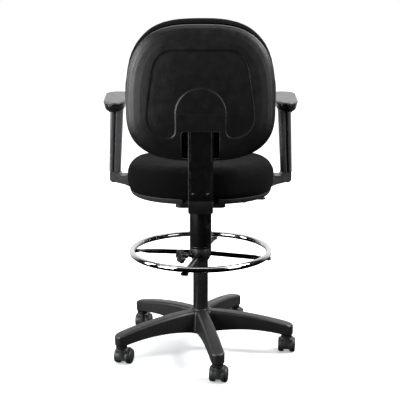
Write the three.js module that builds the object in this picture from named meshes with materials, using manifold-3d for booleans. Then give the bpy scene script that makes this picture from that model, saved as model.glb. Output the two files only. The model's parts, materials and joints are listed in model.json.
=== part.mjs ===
// Drafting chair with a foot ring, a telescoping column cover and height-adjustable arms.
// Millimetres, +Z up. The origin is on the floor, on the axis of the column.
// The sitter faces -Y: the backrest is on the +Y side and the sitter's left is +X.
import * as THREE from "three";
import { mergeVertices } from "three/addons/utils/BufferGeometryUtils.js";
import Module from "manifold-3d";

const wasm = await Module();
wasm.setup();

// ---------------------------------------------------------------- driving dimensions
const GAP = 0.3; // between pieces that touch
const RUN = 0.1; // radial clearance of a pin or shaft in its hole
const SLIP = 0.5; // between a sliding piece and its guide
const THROUGH = 2; // how far a cutter stands out past the face that it cuts

const caster = {
  wheelRadius: 25,
  wheelWidth: 20,
  wheelInset: 9, // from the middle plane to a wheel's inner face
  axleRadius: 4,
  trail: 22, // from the swivel axis back to the axle
  webWidth: 14,
  hoodWidth: 41,
  hoodFront: -18, // degrees above the axle's level where the hood starts, on the stem's side
  hoodRear: 150,
  hoodWall: 2,
  hoodClearance: 1.5,
  bossRise: 0.5, // how far the boss stands above the hood
  bossRadius: 9,
  stemRadius: 5.5,
  stemReach: 21, // how far the stem goes up into the base
  socketDrop: 4, // free height between the hood's boss and the base
};

const base = {
  stemCircle: 290,
  firstArm: 28.4, // degrees from +X
  arms: 5,
  hubWall: 17, // of the hub round the column, at mid-height
  hubTop: 146,
  hubBottom: 70,
  tipRadius: 21,
  socketRadius: 18,
  socketHeight: 13, // of the round boss under each tip
  topFall: 35, // how far an arm's top drops from the hub to the tip
  archRise: 13, // how far an arm's underside arches up
  panelHalf: 15,
  shoulderHalf: 19.5,
  shoulderDrop: 5,
  footHalf: 22,
};

const column = {
  radius: 25,
  wall: 2.5,
  bottom: 66,
  floor: 4,
  top: 446,
  bushLength: 80,
  cylinderRadius: 14,
  cylinderWall: 2,
  cylinderBottom: 190,
  cylinderTop: 538,
  rodRadius: 4,
  rodTop: 480,
  bearingHeight: 8,
};

const cover = {
  standoff: 11, // from the column to the outer cover's outside
  wall: 1.6,
  play: 0.8,
  bottom: 360.5,
  top: 504,
};

const ring = {
  radius: 226, // of the tube's centre line
  tubeRadius: 9.5,
  height: 348,
  clampTop: 359.5,
  clampBottom: 318.5,
  clampWall: 11,
  clampFootWall: 3,
  spokeRadius: 8,
  spokes: 4,
  spokeAngle: -12, // degrees from +X to the first spoke
  spokeHeight: 340, // at the clamp
  spokeTongue: 6, // thickness of a spoke's flattened end
  knobAngle: 33,
  knobRadius: 24,
  knobLength: 15,
  knobReach: 70, // from the column's axis to the knob's inner face
  screwRadius: 5,
};

const seat = {
  height: 654, // top of the cushion at rest
  halfWidth: 240,
  rear: 231, // from the outline's middle back to the widest line of the cushion
  front: 226,
  middle: -30, // Y of the outline's middle
  rearPower: 2.25,
  frontPower: 3,
  rimTop: 560,
  rimBottom: 541.3,
  rimInset: 8,
  rimDraft: 12,
  shellWall: 2.5,
  board: 11,
  notchHalf: 56,
  notchDepth: 45,
};

const mechanism = {
  halfWidth: 80,
  front: -95,
  rear: 75,
  bottom: 508,
  top: 541,
  wall: 8,
  pivotY: 60,
  pivotZ: 528,
  pinRadius: 5,
  leverY: -14,
  backLeverY: 34,
  leverZ: 521,
  leverRadius: 4,
  leverReach: 213,
  backLeverReach: 148,
  leverPivot: 68,
};

const back = {
  lean: 3, // degrees
  middleY: 222,
  middleZ: 835,
  halfWidth: 220,
  up: 250,
  down: 151,
  upPower: 3,
  downPower: 2.7,
  crown: 35,
  rim: 10,
  shellWall: 3,
  boardInset: 8,
  board: 10,
  cushionGrow: 4,
  cushionTop: 16, // how far the cushion stands above the shell's top edge
  cushion: 62,
  notchHalf: 56,
  notchTop: -64,
};

const jbar = {
  width: 60,
  thickness: 8,
  bend: 32,
  offset: 13, // from the back's plane to the bar's middle
  top: 62,
  coverHalf: 38,
  coverDepth: 24,
  coverTop: -42,
  coverBottom: 564, // where the upper cover meets the bend's cover
  eyeRadius: 10,
};

const arm = {
  y: -75, // middle of the upright
  bracketDepth: 58,
  bracketInner: 88,
  blockInner: 28, // this and the other sideways places are outwards from the seat's widest line
  blockOuter: 61,
  blockBottom: 568,
  blockTop: 601,
  reachTop: 591, // the level part between the block and the seat
  postX: 41,
  postWidth: 18,
  postDepth: 42,
  postTop: 790,
  sleeveBottom: 603,
  sleeveTop: 817,
  sleeveBottomX: [27, 63],
  sleeveTopX: [14, 55],
  sleeveDepth: 56,
  boreTop: 796,
  padX: 34,
  padHalfFront: 43,
  padHalfRear: 36,
  padRoundFront: 42,
  padRoundRear: 60,
  padFront: -110,
  padRear: 135,
  padThickness: 8,
  padSlope: 3.5, // degrees, up towards the front
  supportFoot: 21,
  supportHeight: 25,
  buttonZ: 804,
  buttonHeight: 12,
  buttonWidth: 16,
  buttonDepth: 12,
  buttonOut: 6,
};

// ---------------------------------------------------------------- finishes
const finish = (name, color, roughness, metalness = 0) =>
  new THREE.MeshStandardMaterial({ name, color, roughness, metalness });
const finishes = {
  nylon: () => finish("nylon", 0x2b2b2c, 0.6),
  hood: () => finish("hood", 0x262627, 0.55),
  tread: () => finish("tread", 0x1d1d1e, 0.7),
  steel: () => finish("steel", 0x9a9b9d, 0.35, 0.9),
  blackSteel: () => finish("black_steel", 0x1c1c1d, 0.4, 0.5),
  chrome: () => finish("chrome", 0xd8dadc, 0.12, 1),
  shell: () => finish("shell", 0x1f1f20, 0.55),
  fabric: () => finish("fabric", 0x161617, 0.95),
  pad: () => finish("pad", 0x3a3a3b, 0.65),
  gloss: () => finish("gloss", 0x202021, 0.3),
  bearing: () => finish("bearing", 0xc9c9c2, 0.5),
  plywood: () => finish("plywood", 0xb58f5e, 0.7),
};

// ---------------------------------------------------------------- geometry helpers
const radians = THREE.MathUtils.degToRad;
const at = (x, y, z) => new THREE.Matrix4().makeTranslation(x, y, z);
const turn = (degrees) => new THREE.Matrix4().makeRotationZ(radians(degrees));

function solid(geometry) {
  const bare = geometry.clone();
  bare.deleteAttribute("normal");
  bare.deleteAttribute("uv");
  const merged = mergeVertices(bare, 1e-4);
  const body = {
    numProp: 3,
    vertProperties: merged.attributes.position.array,
    triVerts: new Uint32Array(merged.index.array),
  };
  return new wasm.Manifold(new wasm.Mesh(body));
}

function geometryOf(body) {
  const { vertProperties, triVerts } = body.getMesh();
  const geometry = new THREE.BufferGeometry();
  geometry.setAttribute("position", new THREE.BufferAttribute(vertProperties, 3));
  geometry.setIndex(new THREE.BufferAttribute(triVerts, 1));
  geometry.computeVertexNormals();
  return geometry;
}

// One geometry from the first, with the others joined to it and the cutters taken away.
function built(first, { add = [], cut = [] } = {}) {
  let body = solid(first);
  for (const geometry of add) body = body.add(solid(geometry));
  for (const geometry of cut) body = body.subtract(solid(geometry));
  return geometryOf(body);
}

// A body of revolution about Z. The profile is [radius, height] points, upwards along the outside.
function turned(profile, segments = 24) {
  const points = profile.map(([r, z]) => new THREE.Vector2(r, z));
  return new THREE.LatheGeometry(points, segments).rotateX(Math.PI / 2);
}

// A tube or, with no inner radius, a rod along Z.
function tube(outer, inner, bottom, top, segments = 24) {
  const outside = [[outer, bottom], [outer, top]];
  const inside = inner > 0 ? [[inner, top], [inner, bottom]] : [[0, top], [0, bottom]];
  const profile = [...outside, ...inside];
  if (inner > 0) profile.push([outer, bottom]);
  else profile.unshift([0, bottom]);
  return turned(inner > 0 ? profile : profile.slice(0, -1), segments);
}

// A rod along X, Y or Z between two places on that axis.
function rod(axis, radius, from, to, segments = 16) {
  const geometry = tube(radius, 0, from, to, segments);
  if (axis === "x") geometry.rotateY(Math.PI / 2);
  if (axis === "y") geometry.rotateX(-Math.PI / 2);
  return geometry;
}

function block([x0, x1], [y0, y1], [z0, z1]) {
  const geometry = new THREE.BoxGeometry(x1 - x0, y1 - y0, z1 - z0);
  return geometry.translate((x0 + x1) / 2, (y0 + y1) / 2, (z0 + z1) / 2);
}

// A prism of an [x, y] outline along Z.
function prism(outline, bottom, top) {
  const shape = new THREE.Shape(outline.map(([x, y]) => new THREE.Vector2(x, y)));
  const options = { depth: top - bottom, bevelEnabled: false };
  return new THREE.ExtrudeGeometry(shape, options).translate(0, 0, bottom);
}

// A skin over closed rings of equally many points, with a fan over each end.
function loft(rings) {
  const count = rings[0].length;
  const points = rings.flat();
  const index = [];
  for (let i = 0; i + 1 < rings.length; i++) {
    for (let j = 0; j < count; j++) {
      const a = i * count + j;
      const b = i * count + ((j + 1) % count);
      index.push(a, b, b + count, a, b + count, a + count);
    }
  }
  const middle = (ring) =>
    ring.reduce((sum, p) => sum.add(p), new THREE.Vector3()).divideScalar(count);
  const last = (rings.length - 1) * count;
  points.push(middle(rings[0]), middle(rings.at(-1)));
  for (let j = 0; j < count; j++) {
    const next = (j + 1) % count;
    index.push(points.length - 2, next, j);
    index.push(points.length - 1, last + j, last + next);
  }
  const geometry = new THREE.BufferGeometry().setFromPoints(points);
  geometry.setIndex(index);
  geometry.computeVertexNormals();
  return geometry;
}

// A superellipse outline whose two halves have their own reach and power.
function halves({ half, up, down, upPower, downPower, count = 36 }) {
  const outline = [];
  for (let k = 0; k < count; k++) {
    const t = (2 * Math.PI * k) / count;
    const power = Math.sin(t) >= 0 ? upPower : downPower;
    const reach = Math.sin(t) >= 0 ? up : down;
    const part = (value) => Math.sign(value) * Math.abs(value) ** (2 / power);
    outline.push([half * part(Math.cos(t)), reach * part(Math.sin(t))]);
  }
  return outline;
}

// Rings of one outline at [height, inset] levels.
function levels(size, steps) {
  return steps.map(([height, inset]) =>
    halves({ ...size, half: size.half - inset, up: size.up - inset, down: size.down - inset }).map(
      ([x, y]) => new THREE.Vector3(x, y, height),
    ),
  );
}

// A rectangle with rounded corners as an outline, round the point [x, y].
function roundedBox([x, y], width, depth, radius, steps = 3) {
  const outline = [];
  for (let corner = 0; corner < 4; corner++) {
    const sx = corner === 0 || corner === 3 ? 1 : -1;
    const sy = corner < 2 ? 1 : -1;
    for (let k = 0; k <= steps; k++) {
      const t = (Math.PI / 2) * (corner + k / steps);
      const cx = x + sx * (width / 2 - radius);
      const cy = y + sy * (depth / 2 - radius);
      outline.push([cx + radius * Math.cos(t), cy + radius * Math.sin(t)]);
    }
  }
  return outline;
}

const ringAt = (outline, z) => outline.map(([x, y]) => new THREE.Vector3(x, y, z));

function piece(name, geometry, material) {
  const mesh = new THREE.Mesh(geometry, material);
  mesh.name = name;
  return mesh;
}

function group(...children) {
  const made = new THREE.Group();
  made.add(...children);
  return made;
}

// ---------------------------------------------------------------- base and casters
const armAngle = (i) => base.firstArm + (360 / base.arms) * i;
const hoodInner = caster.wheelRadius + caster.hoodClearance;
const hoodOuter = hoodInner + caster.hoodWall;
const bossTop = caster.wheelRadius + hoodOuter + caster.bossRise;
const socketBottom = bossTop + caster.socketDrop;
const lipHeight = socketBottom + base.socketHeight;
const hubRadius = column.radius + base.hubWall;

function baseArm() {
  const from = hubRadius / 2;
  const span = base.stemCircle - from;
  const steps = 7;
  const rings = [];
  for (let i = 0; i <= steps; i++) {
    const r = from + (span * i) / steps;
    const share = r / base.stemCircle;
    const top = base.hubTop - 1 - base.topFall * share ** 2;
    const arch = 1 - ((r - 0.55 * base.stemCircle) / (0.42 * base.stemCircle)) ** 2;
    const bottom = lipHeight + base.archRise * Math.max(arch, 0);
    const foot = base.footHalf - 2 * share;
    const section = [
      [-foot, bottom],
      [foot, bottom],
      [base.shoulderHalf, top - base.shoulderDrop],
      [base.panelHalf, top],
      [-base.panelHalf, top],
      [-base.shoulderHalf, top - base.shoulderDrop],
    ];
    rings.push(section.map(([y, z]) => new THREE.Vector3(r, y, z)));
  }
  return loft(rings);
}

function baseTip() {
  const top = base.hubTop - base.topFall;
  const profile = [
    [0, socketBottom],
    [base.socketRadius, socketBottom],
    [base.socketRadius, lipHeight],
    [base.tipRadius, lipHeight],
    [base.tipRadius, top - 12],
    [base.tipRadius - 6, top - 4],
    [0, top - 2],
  ];
  return turned(profile, 14).applyMatrix4(at(base.stemCircle, 0, 0));
}

function fiveStarBase() {
  const { hubTop, hubBottom } = base;
  const hub = turned([
    [0, hubBottom],
    [hubRadius + 2, hubBottom],
    [hubRadius - 3, hubTop - 8],
    [hubRadius - 7, hubTop],
    [0, hubTop],
  ]);
  const holeTop = socketBottom + caster.stemReach + 2;
  const hole = tube(caster.stemRadius + GAP, 0, socketBottom - THROUGH, holeTop, 12);
  const add = [];
  const cut = [tube(column.radius + GAP, 0, hubBottom - THROUGH, hubTop + THROUGH)];
  for (let i = 0; i < base.arms; i++) {
    const facing = turn(armAngle(i));
    add.push(baseArm().applyMatrix4(facing), baseTip().applyMatrix4(facing));
    cut.push(hole.clone().applyMatrix4(at(base.stemCircle, 0, 0)).applyMatrix4(facing));
  }
  return piece("five_star_base", built(hub, { add, cut }), finishes.nylon());
}

// A sector of a ring about the axle, as an outline in the plane across the axle.
function sector(outer, inner, fromDegrees, toDegrees, steps) {
  const arc = (radius, a, b) =>
    Array.from({ length: steps + 1 }, (_, k) => {
      const t = radians(a + ((b - a) * k) / steps);
      return [radius * Math.cos(t), radius * Math.sin(t)];
    });
  return [...arc(outer, fromDegrees, toDegrees), ...arc(inner, toDegrees, fromDegrees)];
}

// Stands an outline of [forward, up] points across X, with its middle on the axle.
function acrossX(outline, half) {
  return prism(outline, -half, half)
    .rotateY(Math.PI / 2)
    .rotateX(Math.PI / 2)
    .translate(0, -caster.trail, caster.wheelRadius);
}

// The web between the wheels reaches from round the axle up into the shroud.
function webOutline() {
  const low = caster.axleRadius + 5;
  const steps = 6;
  const arc = sector(hoodOuter - 1, low, caster.hoodFront, caster.hoodRear, steps);
  return [...arc.slice(0, steps + 1), [-low, 0], [-low / 2, -low], [low / 2, -low]];
}

// The caster's own frame has its swivel axis on Z and its wheels trailing towards -Y.
function casterHood(name) {
  const { trail, wheelRadius, webWidth, bossRadius, axleRadius } = caster;
  const { hoodFront, hoodRear, hoodWidth } = caster;
  const shroud = acrossX(sector(hoodOuter, hoodInner, hoodFront, hoodRear, 7), hoodWidth / 2);
  const web = acrossX(webOutline(), webWidth / 2);
  const axleEnd = caster.wheelInset + caster.wheelWidth - 3;
  const axle = rod("x", axleRadius, -axleEnd, axleEnd, 10).translate(0, -trail, wheelRadius);
  const boss = tube(bossRadius, 0, wheelRadius + 4, bossTop, 12);
  const bore = tube(caster.stemRadius + GAP, 0, wheelRadius + 10, bossTop + THROUGH, 12);
  const wheelSpace = (side) => {
    const inner = side * (webWidth / 2 + 1);
    const outer = side * caster.hoodWidth;
    const span = [Math.min(inner, outer), Math.max(inner, outer)];
    return rod("x", hoodInner, ...span, 18).translate(0, -trail, wheelRadius);
  };
  const body = built(shroud, { add: [web, boss], cut: [wheelSpace(1), wheelSpace(-1), bore] });
  return piece(name, built(body, { add: [axle] }), finishes.hood());
}

function casterWheel(name, side) {
  const { wheelRadius, wheelWidth, wheelInset, axleRadius, trail } = caster;
  const facets = 20;
  const corner = wheelRadius / Math.cos(Math.PI / facets);
  const profile = [
    [axleRadius + RUN, 0],
    [corner - 3, 0],
    [corner, 2],
    [corner, wheelWidth - 4],
    [corner - 6, wheelWidth],
    [axleRadius + RUN, wheelWidth],
    [axleRadius + RUN, 0],
  ];
  const geometry = turned(profile, facets)
    .rotateZ(Math.PI / facets)
    .rotateY((side * Math.PI) / 2)
    .translate(side * wheelInset, -trail, wheelRadius);
  return piece(name, geometry, finishes.tread());
}

function casterStem(name) {
  const { stemRadius, wheelRadius, stemReach } = caster;
  const top = socketBottom + stemReach;
  const profile = [
    [0, wheelRadius + 11],
    [stemRadius, wheelRadius + 11],
    [stemRadius, bossTop + GAP],
    [stemRadius + 2.5, bossTop + GAP],
    [stemRadius + 2.5, bossTop + 2],
    [stemRadius, bossTop + 2],
    [stemRadius, top - 2],
    [0, top],
  ];
  return piece(name, turned(profile, 10), finishes.steel());
}

const casterTurn = [-15, -10, -8, -10, -10]; // degrees that each caster is turned from straight back

function casters() {
  return casterTurn.map((degrees, i) => {
    const n = i + 1;
    const trailing = group(
      casterHood(`caster_hood_${n}`),
      casterWheel(`caster_wheel_left_${n}`, 1),
      casterWheel(`caster_wheel_right_${n}`, -1),
    );
    trailing.rotation.z = radians(degrees);
    const made = group(trailing, casterStem(`caster_stem_${n}`));
    const facing = radians(armAngle(i));
    made.position.set(base.stemCircle * Math.cos(facing), base.stemCircle * Math.sin(facing), 0);
    return made;
  });
}

// ---------------------------------------------------------------- column
function gasColumn() {
  const inner = column.radius - column.wall;
  const floorTop = column.bottom + column.floor;
  const rodHole = column.rodRadius + RUN;
  const columnTube = turned([
    [rodHole, column.bottom],
    [column.radius - 1, column.bottom],
    [column.radius, column.bottom + 12],
    [column.radius, column.top],
    [inner, column.top],
    [inner, floorTop],
    [rodHole, floorTop],
    [rodHole, column.bottom],
  ]);
  const bushInner = column.cylinderRadius + RUN;
  const bushOuter = inner - RUN;
  const flangeTop = column.top + 4;
  const bush = turned([
    [bushInner, column.top - column.bushLength],
    [bushOuter, column.top - column.bushLength],
    [bushOuter, column.top + GAP],
    [column.radius - 1, column.top + GAP],
    [column.radius - 1, flangeTop],
    [bushInner, flangeTop],
    [bushInner, column.top - column.bushLength],
  ]);
  const bore = column.cylinderRadius - column.cylinderWall;
  const { cylinderBottom, cylinderTop, cylinderRadius } = column;
  const cylinder = turned([
    [rodHole, cylinderBottom],
    [cylinderRadius, cylinderBottom],
    [cylinderRadius, cylinderTop - 28],
    [cylinderRadius - 0.8, cylinderTop],
    [0, cylinderTop],
    [0, cylinderTop - 10],
    [bore, cylinderTop - 10],
    [bore, cylinderBottom + 10],
    [rodHole, cylinderBottom + 10],
    [rodHole, cylinderBottom],
  ]);
  const shoulder = floorTop + GAP + column.bearingHeight + GAP;
  const pistonRod = turned([
    [0, column.bottom - 3],
    [column.rodRadius, column.bottom - 3],
    [column.rodRadius, shoulder],
    [column.rodRadius + 6, shoulder],
    [column.rodRadius + 6, shoulder + 3],
    [column.rodRadius, shoulder + 3],
    [column.rodRadius, column.rodTop - 12],
    [bore - GAP, column.rodTop - 12],
    [bore - GAP, column.rodTop],
    [0, column.rodTop],
  ], 20);
  const bearing = tube(12, rodHole, floorTop + GAP, floorTop + GAP + column.bearingHeight, 20);
  return [
    piece("column_tube", columnTube, finishes.blackSteel()),
    piece("column_bush", bush, finishes.bearing()),
    piece("gas_cylinder", cylinder, finishes.blackSteel()),
    piece("piston_rod", pistonRod, finishes.steel()),
    piece("thrust_bearing", bearing, finishes.steel()),
  ];
}

function telescopingCover() {
  const { standoff, wall, play, bottom, top } = cover;
  const radius = column.radius + standoff;
  const nested = (n) => radius - n * (wall + play);
  const sleeve = (n) => tube(nested(n), nested(n) - wall, bottom, top);
  const innerWall = nested(2) - wall;
  const foot = column.radius + GAP;
  const innerCover = turned([
    [foot, bottom],
    [nested(2), bottom],
    [nested(2), top - 1],
    [innerWall, top - 1],
    [innerWall, bottom + 3],
    [foot, bottom + 3],
    [foot, bottom],
  ]);
  return [
    piece("cover_outer", sleeve(0), finishes.shell()),
    piece("cover_middle", sleeve(1), finishes.shell()),
    piece("cover_inner", innerCover, finishes.shell()),
  ];
}

// ---------------------------------------------------------------- foot ring
const clampRadius = column.radius + ring.clampWall;
const clampFoot = column.radius + ring.clampFootWall;
const ringBottom = ring.height - ring.tubeRadius;
const clampBore = column.radius + GAP;

function ringSpoke(name, degrees) {
  const tongueZ = ringBottom - GAP - ring.spokeTongue / 2;
  const tongueWide = 11;
  const stations = [
    [clampRadius - 3, ring.spokeHeight, 1],
    [ring.radius - 42, tongueZ, 1],
    [ring.radius - 18, tongueZ, 0],
    [ring.radius + 9, tongueZ, 0],
  ];
  const rings = stations.map(([r, z, round]) => {
    const wide = THREE.MathUtils.lerp(tongueWide, ring.spokeRadius, round);
    const tall = THREE.MathUtils.lerp(ring.spokeTongue / 2, ring.spokeRadius, round);
    return Array.from({ length: 12 }, (_, k) => {
      const t = (2 * Math.PI * k) / 12;
      return new THREE.Vector3(r, wide * Math.cos(t), z + tall * Math.sin(t));
    });
  });
  return piece(name, loft(rings).rotateZ(radians(degrees)), finishes.chrome());
}

function footRing() {
  const { clampTop, clampBottom, knobAngle, knobReach, screwRadius } = ring;
  const hoop = new THREE.TorusGeometry(ring.radius, ring.tubeRadius, 8, 48);
  hoop.translate(0, 0, ring.height);
  const angles = Array.from({ length: ring.spokes }, (_, i) => ring.spokeAngle + (360 / ring.spokes) * i);
  const clampBody = turned([
    [clampBore, clampBottom],
    [clampFoot, clampBottom],
    [clampRadius - 2, clampBottom + 12],
    [clampRadius, clampTop],
    [clampBore, clampTop],
    [clampBore, clampBottom],
  ]);
  const screwZ = (clampTop + clampBottom) / 2;
  const toKnob = turn(knobAngle).setPosition(0, 0, screwZ);
  const lug = rod("x", screwRadius + 5, clampRadius - 6, clampRadius + 8).applyMatrix4(toKnob);
  const screwHole = rod("x", screwRadius + RUN, column.radius, clampRadius + 20).applyMatrix4(toKnob);
  const socket = ringSpoke("", 0).geometry;
  const socketScale = 1 + GAP / ring.spokeRadius;
  const socketAt = (degrees) =>
    socket
      .clone()
      .translate(0, 0, -ring.spokeHeight)
      .scale(1, socketScale, socketScale)
      .translate(-GAP, 0, ring.spokeHeight)
      .rotateZ(radians(degrees));
  const clampShape = built(clampBody, { add: [lug], cut: [screwHole, ...angles.map(socketAt)] });
  const lobes = 7;
  const knobOutline = Array.from({ length: lobes * 6 }, (_, k) => {
    const t = (2 * Math.PI * k) / (lobes * 6);
    const r = ring.knobRadius - 2 + 2 * Math.cos(lobes * t);
    return [r * Math.cos(t), r * Math.sin(t)];
  });
  const grip = prism(knobOutline, 0, ring.knobLength).rotateY(Math.PI / 2).translate(knobReach, 0, 0);
  const neck = rod("x", screwRadius + 5, clampRadius + 16, knobReach + 1);
  const screw = rod("x", screwRadius, column.radius + 1.2, knobReach + 1);
  const knob = built(grip, { add: [neck, screw] }).applyMatrix4(toKnob);
  return [
    piece("foot_ring", hoop, finishes.chrome()),
    ...angles.map((degrees, i) => ringSpoke(`foot_ring_spoke_${i + 1}`, degrees)),
    piece("foot_ring_clamp", clampShape, finishes.nylon()),
    piece("clamp_knob", knob, finishes.nylon()),
  ];
}

// ---------------------------------------------------------------- mechanism
function lever(name, y, reach, paddle) {
  const { leverPivot, leverZ, leverRadius } = mechanism;
  const shank = rod("x", leverRadius, -(reach - 20), -leverPivot, 12).translate(0, y, leverZ);
  const cross = rod("y", leverRadius + 1, y - 9, y + 9, 12).translate(-leverPivot, 0, leverZ);
  const grip = prism(roundedBox([-(reach - 22), y], 44, paddle, paddle / 2 - 1, 4), leverZ - 3, leverZ + 3);
  return piece(name, built(shank, { add: [cross, grip] }), finishes.nylon());
}

function leverPocket(y) {
  const { leverPivot, leverZ, halfWidth } = mechanism;
  return block([-halfWidth - THROUGH, -leverPivot + 7], [y - 10, y + 10], [leverZ - 8, leverZ + 10]);
}

function seatMechanism() {
  const { halfWidth, front, rear, bottom, top, wall, pivotY, pivotZ, pinRadius } = mechanism;
  const depth = rear - front;
  const middle = (front + rear) / 2;
  const body = prism(roundedBox([0, middle], 2 * halfWidth, depth, 18, 4), bottom, top);
  const taper = tube(column.cylinderRadius + RUN, 0, bottom - THROUGH, column.cylinderTop + 1);
  const barSpace = jbar.width / 2 + 1;
  const pocket = block(
    [-barSpace, barSpace],
    [pivotY - jbar.eyeRadius - 2, rear + THROUGH],
    [pivotZ - jbar.eyeRadius - 2, pivotZ + jbar.eyeRadius + 1],
  );
  const pinHole = rod("x", pinRadius + RUN, -halfWidth - THROUGH, halfWidth + THROUGH);
  pinHole.translate(0, pivotY, pivotZ);
  const pin = rod("x", pinRadius, -halfWidth + 1, halfWidth - 1).translate(0, pivotY, pivotZ);
  const levers = [mechanism.leverY, mechanism.backLeverY];
  const relief = block([-halfWidth + wall, halfWidth - wall], [front + wall, front + 50], [bottom - 1, top - wall]);
  const housing = built(body, { cut: [taper, pocket, pinHole, relief, ...levers.map(leverPocket)] });
  return [
    piece("mechanism_housing", housing, finishes.blackSteel()),
    piece("back_pivot_pin", pin, finishes.steel()),
    lever("lift_lever", mechanism.leverY, mechanism.leverReach, 22),
    lever("back_lock_lever", mechanism.backLeverY, mechanism.backLeverReach, 18),
  ];
}

// ---------------------------------------------------------------- seat
const seatOutline = {
  half: seat.halfWidth,
  up: seat.rear,
  down: seat.front,
  upPower: seat.rearPower,
  downPower: seat.frontPower,
};

function seatPieces() {
  const { rimTop, rimBottom, rimInset, rimDraft, shellWall, middle, height } = seat;
  const floor = rimBottom + shellWall;
  const inside = rimInset + shellWall;
  const boardTop = floor + GAP + seat.board;
  const bulge = (rimTop + height) / 2 - 4;
  const tray = loft(levels(seatOutline, [
    [rimBottom, rimInset + rimDraft],
    [rimBottom + 5, rimInset + rimDraft * 0.4],
    [rimTop, rimInset],
  ]));
  const hollow = loft(levels(seatOutline, [
    [floor, inside + rimDraft],
    [rimBottom + 6, inside + rimDraft * 0.4],
    [rimTop + THROUGH, inside],
  ]));
  const rearY = seat.rear;
  const notch = block(
    [-seat.notchHalf, seat.notchHalf],
    [rearY - seat.notchDepth, rearY + 20],
    [rimBottom - THROUGH, rimTop + THROUGH],
  );
  const shell = built(tray, { cut: [hollow, notch] });
  const boardInset = inside + rimDraft + 1;
  const board = loft(levels(seatOutline, [
    [floor + GAP, boardInset],
    [boardTop, boardInset],
  ]));
  const seatLine = inside + 1;
  const cushion = loft(levels(seatOutline, [
    [boardTop + GAP, seatLine + 2],
    [rimTop + GAP, seatLine],
    [rimTop + 2, rimInset],
    [rimTop + 14, 2.5],
    [bulge, 0],
    [height - 26, 4],
    [height - 14, 12],
    [height - 6, 28],
    [height - 2, 65],
    [height, 130],
  ]));
  return [
    piece("seat_shell", shell.translate(0, middle, 0), finishes.shell()),
    piece("seat_board", board.translate(0, middle, 0), finishes.plywood()),
    piece("seat_cushion", cushion.translate(0, middle, 0), finishes.fabric()),
  ];
}

// ---------------------------------------------------------------- back
// The back's own frame has its outline in X and Z, and Y is its thickness, rearwards.
const backOutline = {
  half: back.halfWidth,
  up: back.up,
  down: back.down,
  upPower: back.upPower,
  downPower: back.downPower,
};
const backFrame = at(0, back.middleY, back.middleZ).multiply(
  new THREE.Matrix4().makeRotationX(radians(-back.lean)),
);
const standing = (geometry) => geometry.rotateX(Math.PI / 2).applyMatrix4(backFrame);

// Steps are [depth behind the back's plane, inset], listed from the rear forwards.
function backLoft(size, steps) {
  return loft(levels(size, steps.map(([depth, inset]) => [-depth, inset])));
}

function backPieces() {
  const { crown, rim, shellWall, notchHalf, notchTop } = back;
  const crownSteps = [
    [1, 140],
    [0.86, 82],
    [0.68, 42],
    [0.44, 14],
    [0.27, 5],
  ];
  const dome = (height, inset) => crownSteps.map(([share, step]) => [share * height, step + inset]);
  const outside = backLoft(backOutline, [...dome(crown, 0), [2, 0], [-rim, 1]]);
  const inside = backLoft(backOutline, [
    ...dome(crown - shellWall, shellWall),
    [2, shellWall],
    [-rim - THROUGH, shellWall],
  ]);
  const notch = block([-notchHalf, notchHalf], [-back.down - 20, notchTop], [-crown - 20, rim - 6]);
  const shell = built(outside, { cut: [inside, notch] });
  const boardFront = -(rim + 2);
  const boardRear = boardFront + back.board;
  const board = backLoft(backOutline, [
    [boardRear, back.boardInset],
    [boardFront, back.boardInset],
  ]);
  const cushionOutline = {
    ...backOutline,
    half: back.halfWidth + back.cushionGrow,
    up: back.up + back.cushionTop,
  };
  const rearFace = boardFront - GAP;
  const front = rearFace - back.cushion;
  const cushion = backLoft(cushionOutline, [
    [rearFace, 12],
    [rearFace - 8, 2],
    [rearFace - 24, 0],
    [front + 22, 4],
    [front + 10, 16],
    [front + 3, 42],
    [front, 100],
  ]);
  const slotHalf = jbar.thickness / 2 + SLIP;
  const bracketBody = block([-40, 40], [-20, 45], [-(jbar.offset + 10), -(jbar.offset - 10)]);
  const slot = block(
    [-jbar.width / 2 - SLIP, jbar.width / 2 + SLIP],
    [-20 - THROUGH, 45 + THROUGH],
    [-(jbar.offset + slotHalf), -(jbar.offset - slotHalf)],
  );
  const bracket = built(bracketBody, { cut: [slot] });
  return [
    piece("back_shell", standing(shell), finishes.shell()),
    piece("back_board", standing(board), finishes.plywood()),
    piece("back_cushion", standing(cushion), finishes.fabric()),
    piece("back_height_bracket", standing(bracket), finishes.nylon()),
  ];
}

// The J: level from the pivot, round the bend and up along the back.
const rise = radians(90 - back.lean);
const upward = new THREE.Vector2(Math.cos(rise), Math.sin(rise));
const barFoot = (() => {
  const along = (mechanism.pivotZ + jbar.bend * (1 - Math.cos(rise)) - back.middleZ) / upward.y;
  const lean = radians(back.lean);
  const y = back.middleY + jbar.offset * Math.cos(lean) + upward.x * along;
  return { y, along, bendY: y - jbar.bend * Math.sin(rise) };
})();

// A strip of the J between two places, as a prism across X. Places are lengths up the back from
// its middle, or Y on the level part.
function strip(half, thickness, levelFrom, topAlong) {
  const bendZ = mechanism.pivotZ + jbar.bend;
  const steps = 8;
  const point = (along, side) => {
    const foot = new THREE.Vector2(barFoot.y, bendZ - jbar.bend * Math.cos(rise));
    const normal = new THREE.Vector2(upward.y, -upward.x);
    return foot.addScaledVector(upward, along - barFoot.along).addScaledVector(normal, side);
  };
  const arc = (side) =>
    Array.from({ length: steps + 1 }, (_, k) => {
      const t = (rise * k) / steps;
      const r = jbar.bend + side;
      return new THREE.Vector2(barFoot.bendY + r * Math.sin(t), bendZ - r * Math.cos(t));
    });
  const edge = (side) => {
    const start = levelFrom === null ? [] : [new THREE.Vector2(levelFrom, mechanism.pivotZ - side)];
    return [...start, ...arc(side), point(topAlong, side)];
  };
  const outline = [...edge(thickness / 2), ...edge(-thickness / 2).reverse()];
  return prism(outline.map((p) => [p.x, p.y]), -half, half).rotateY(Math.PI / 2).rotateX(Math.PI / 2);
}

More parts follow.
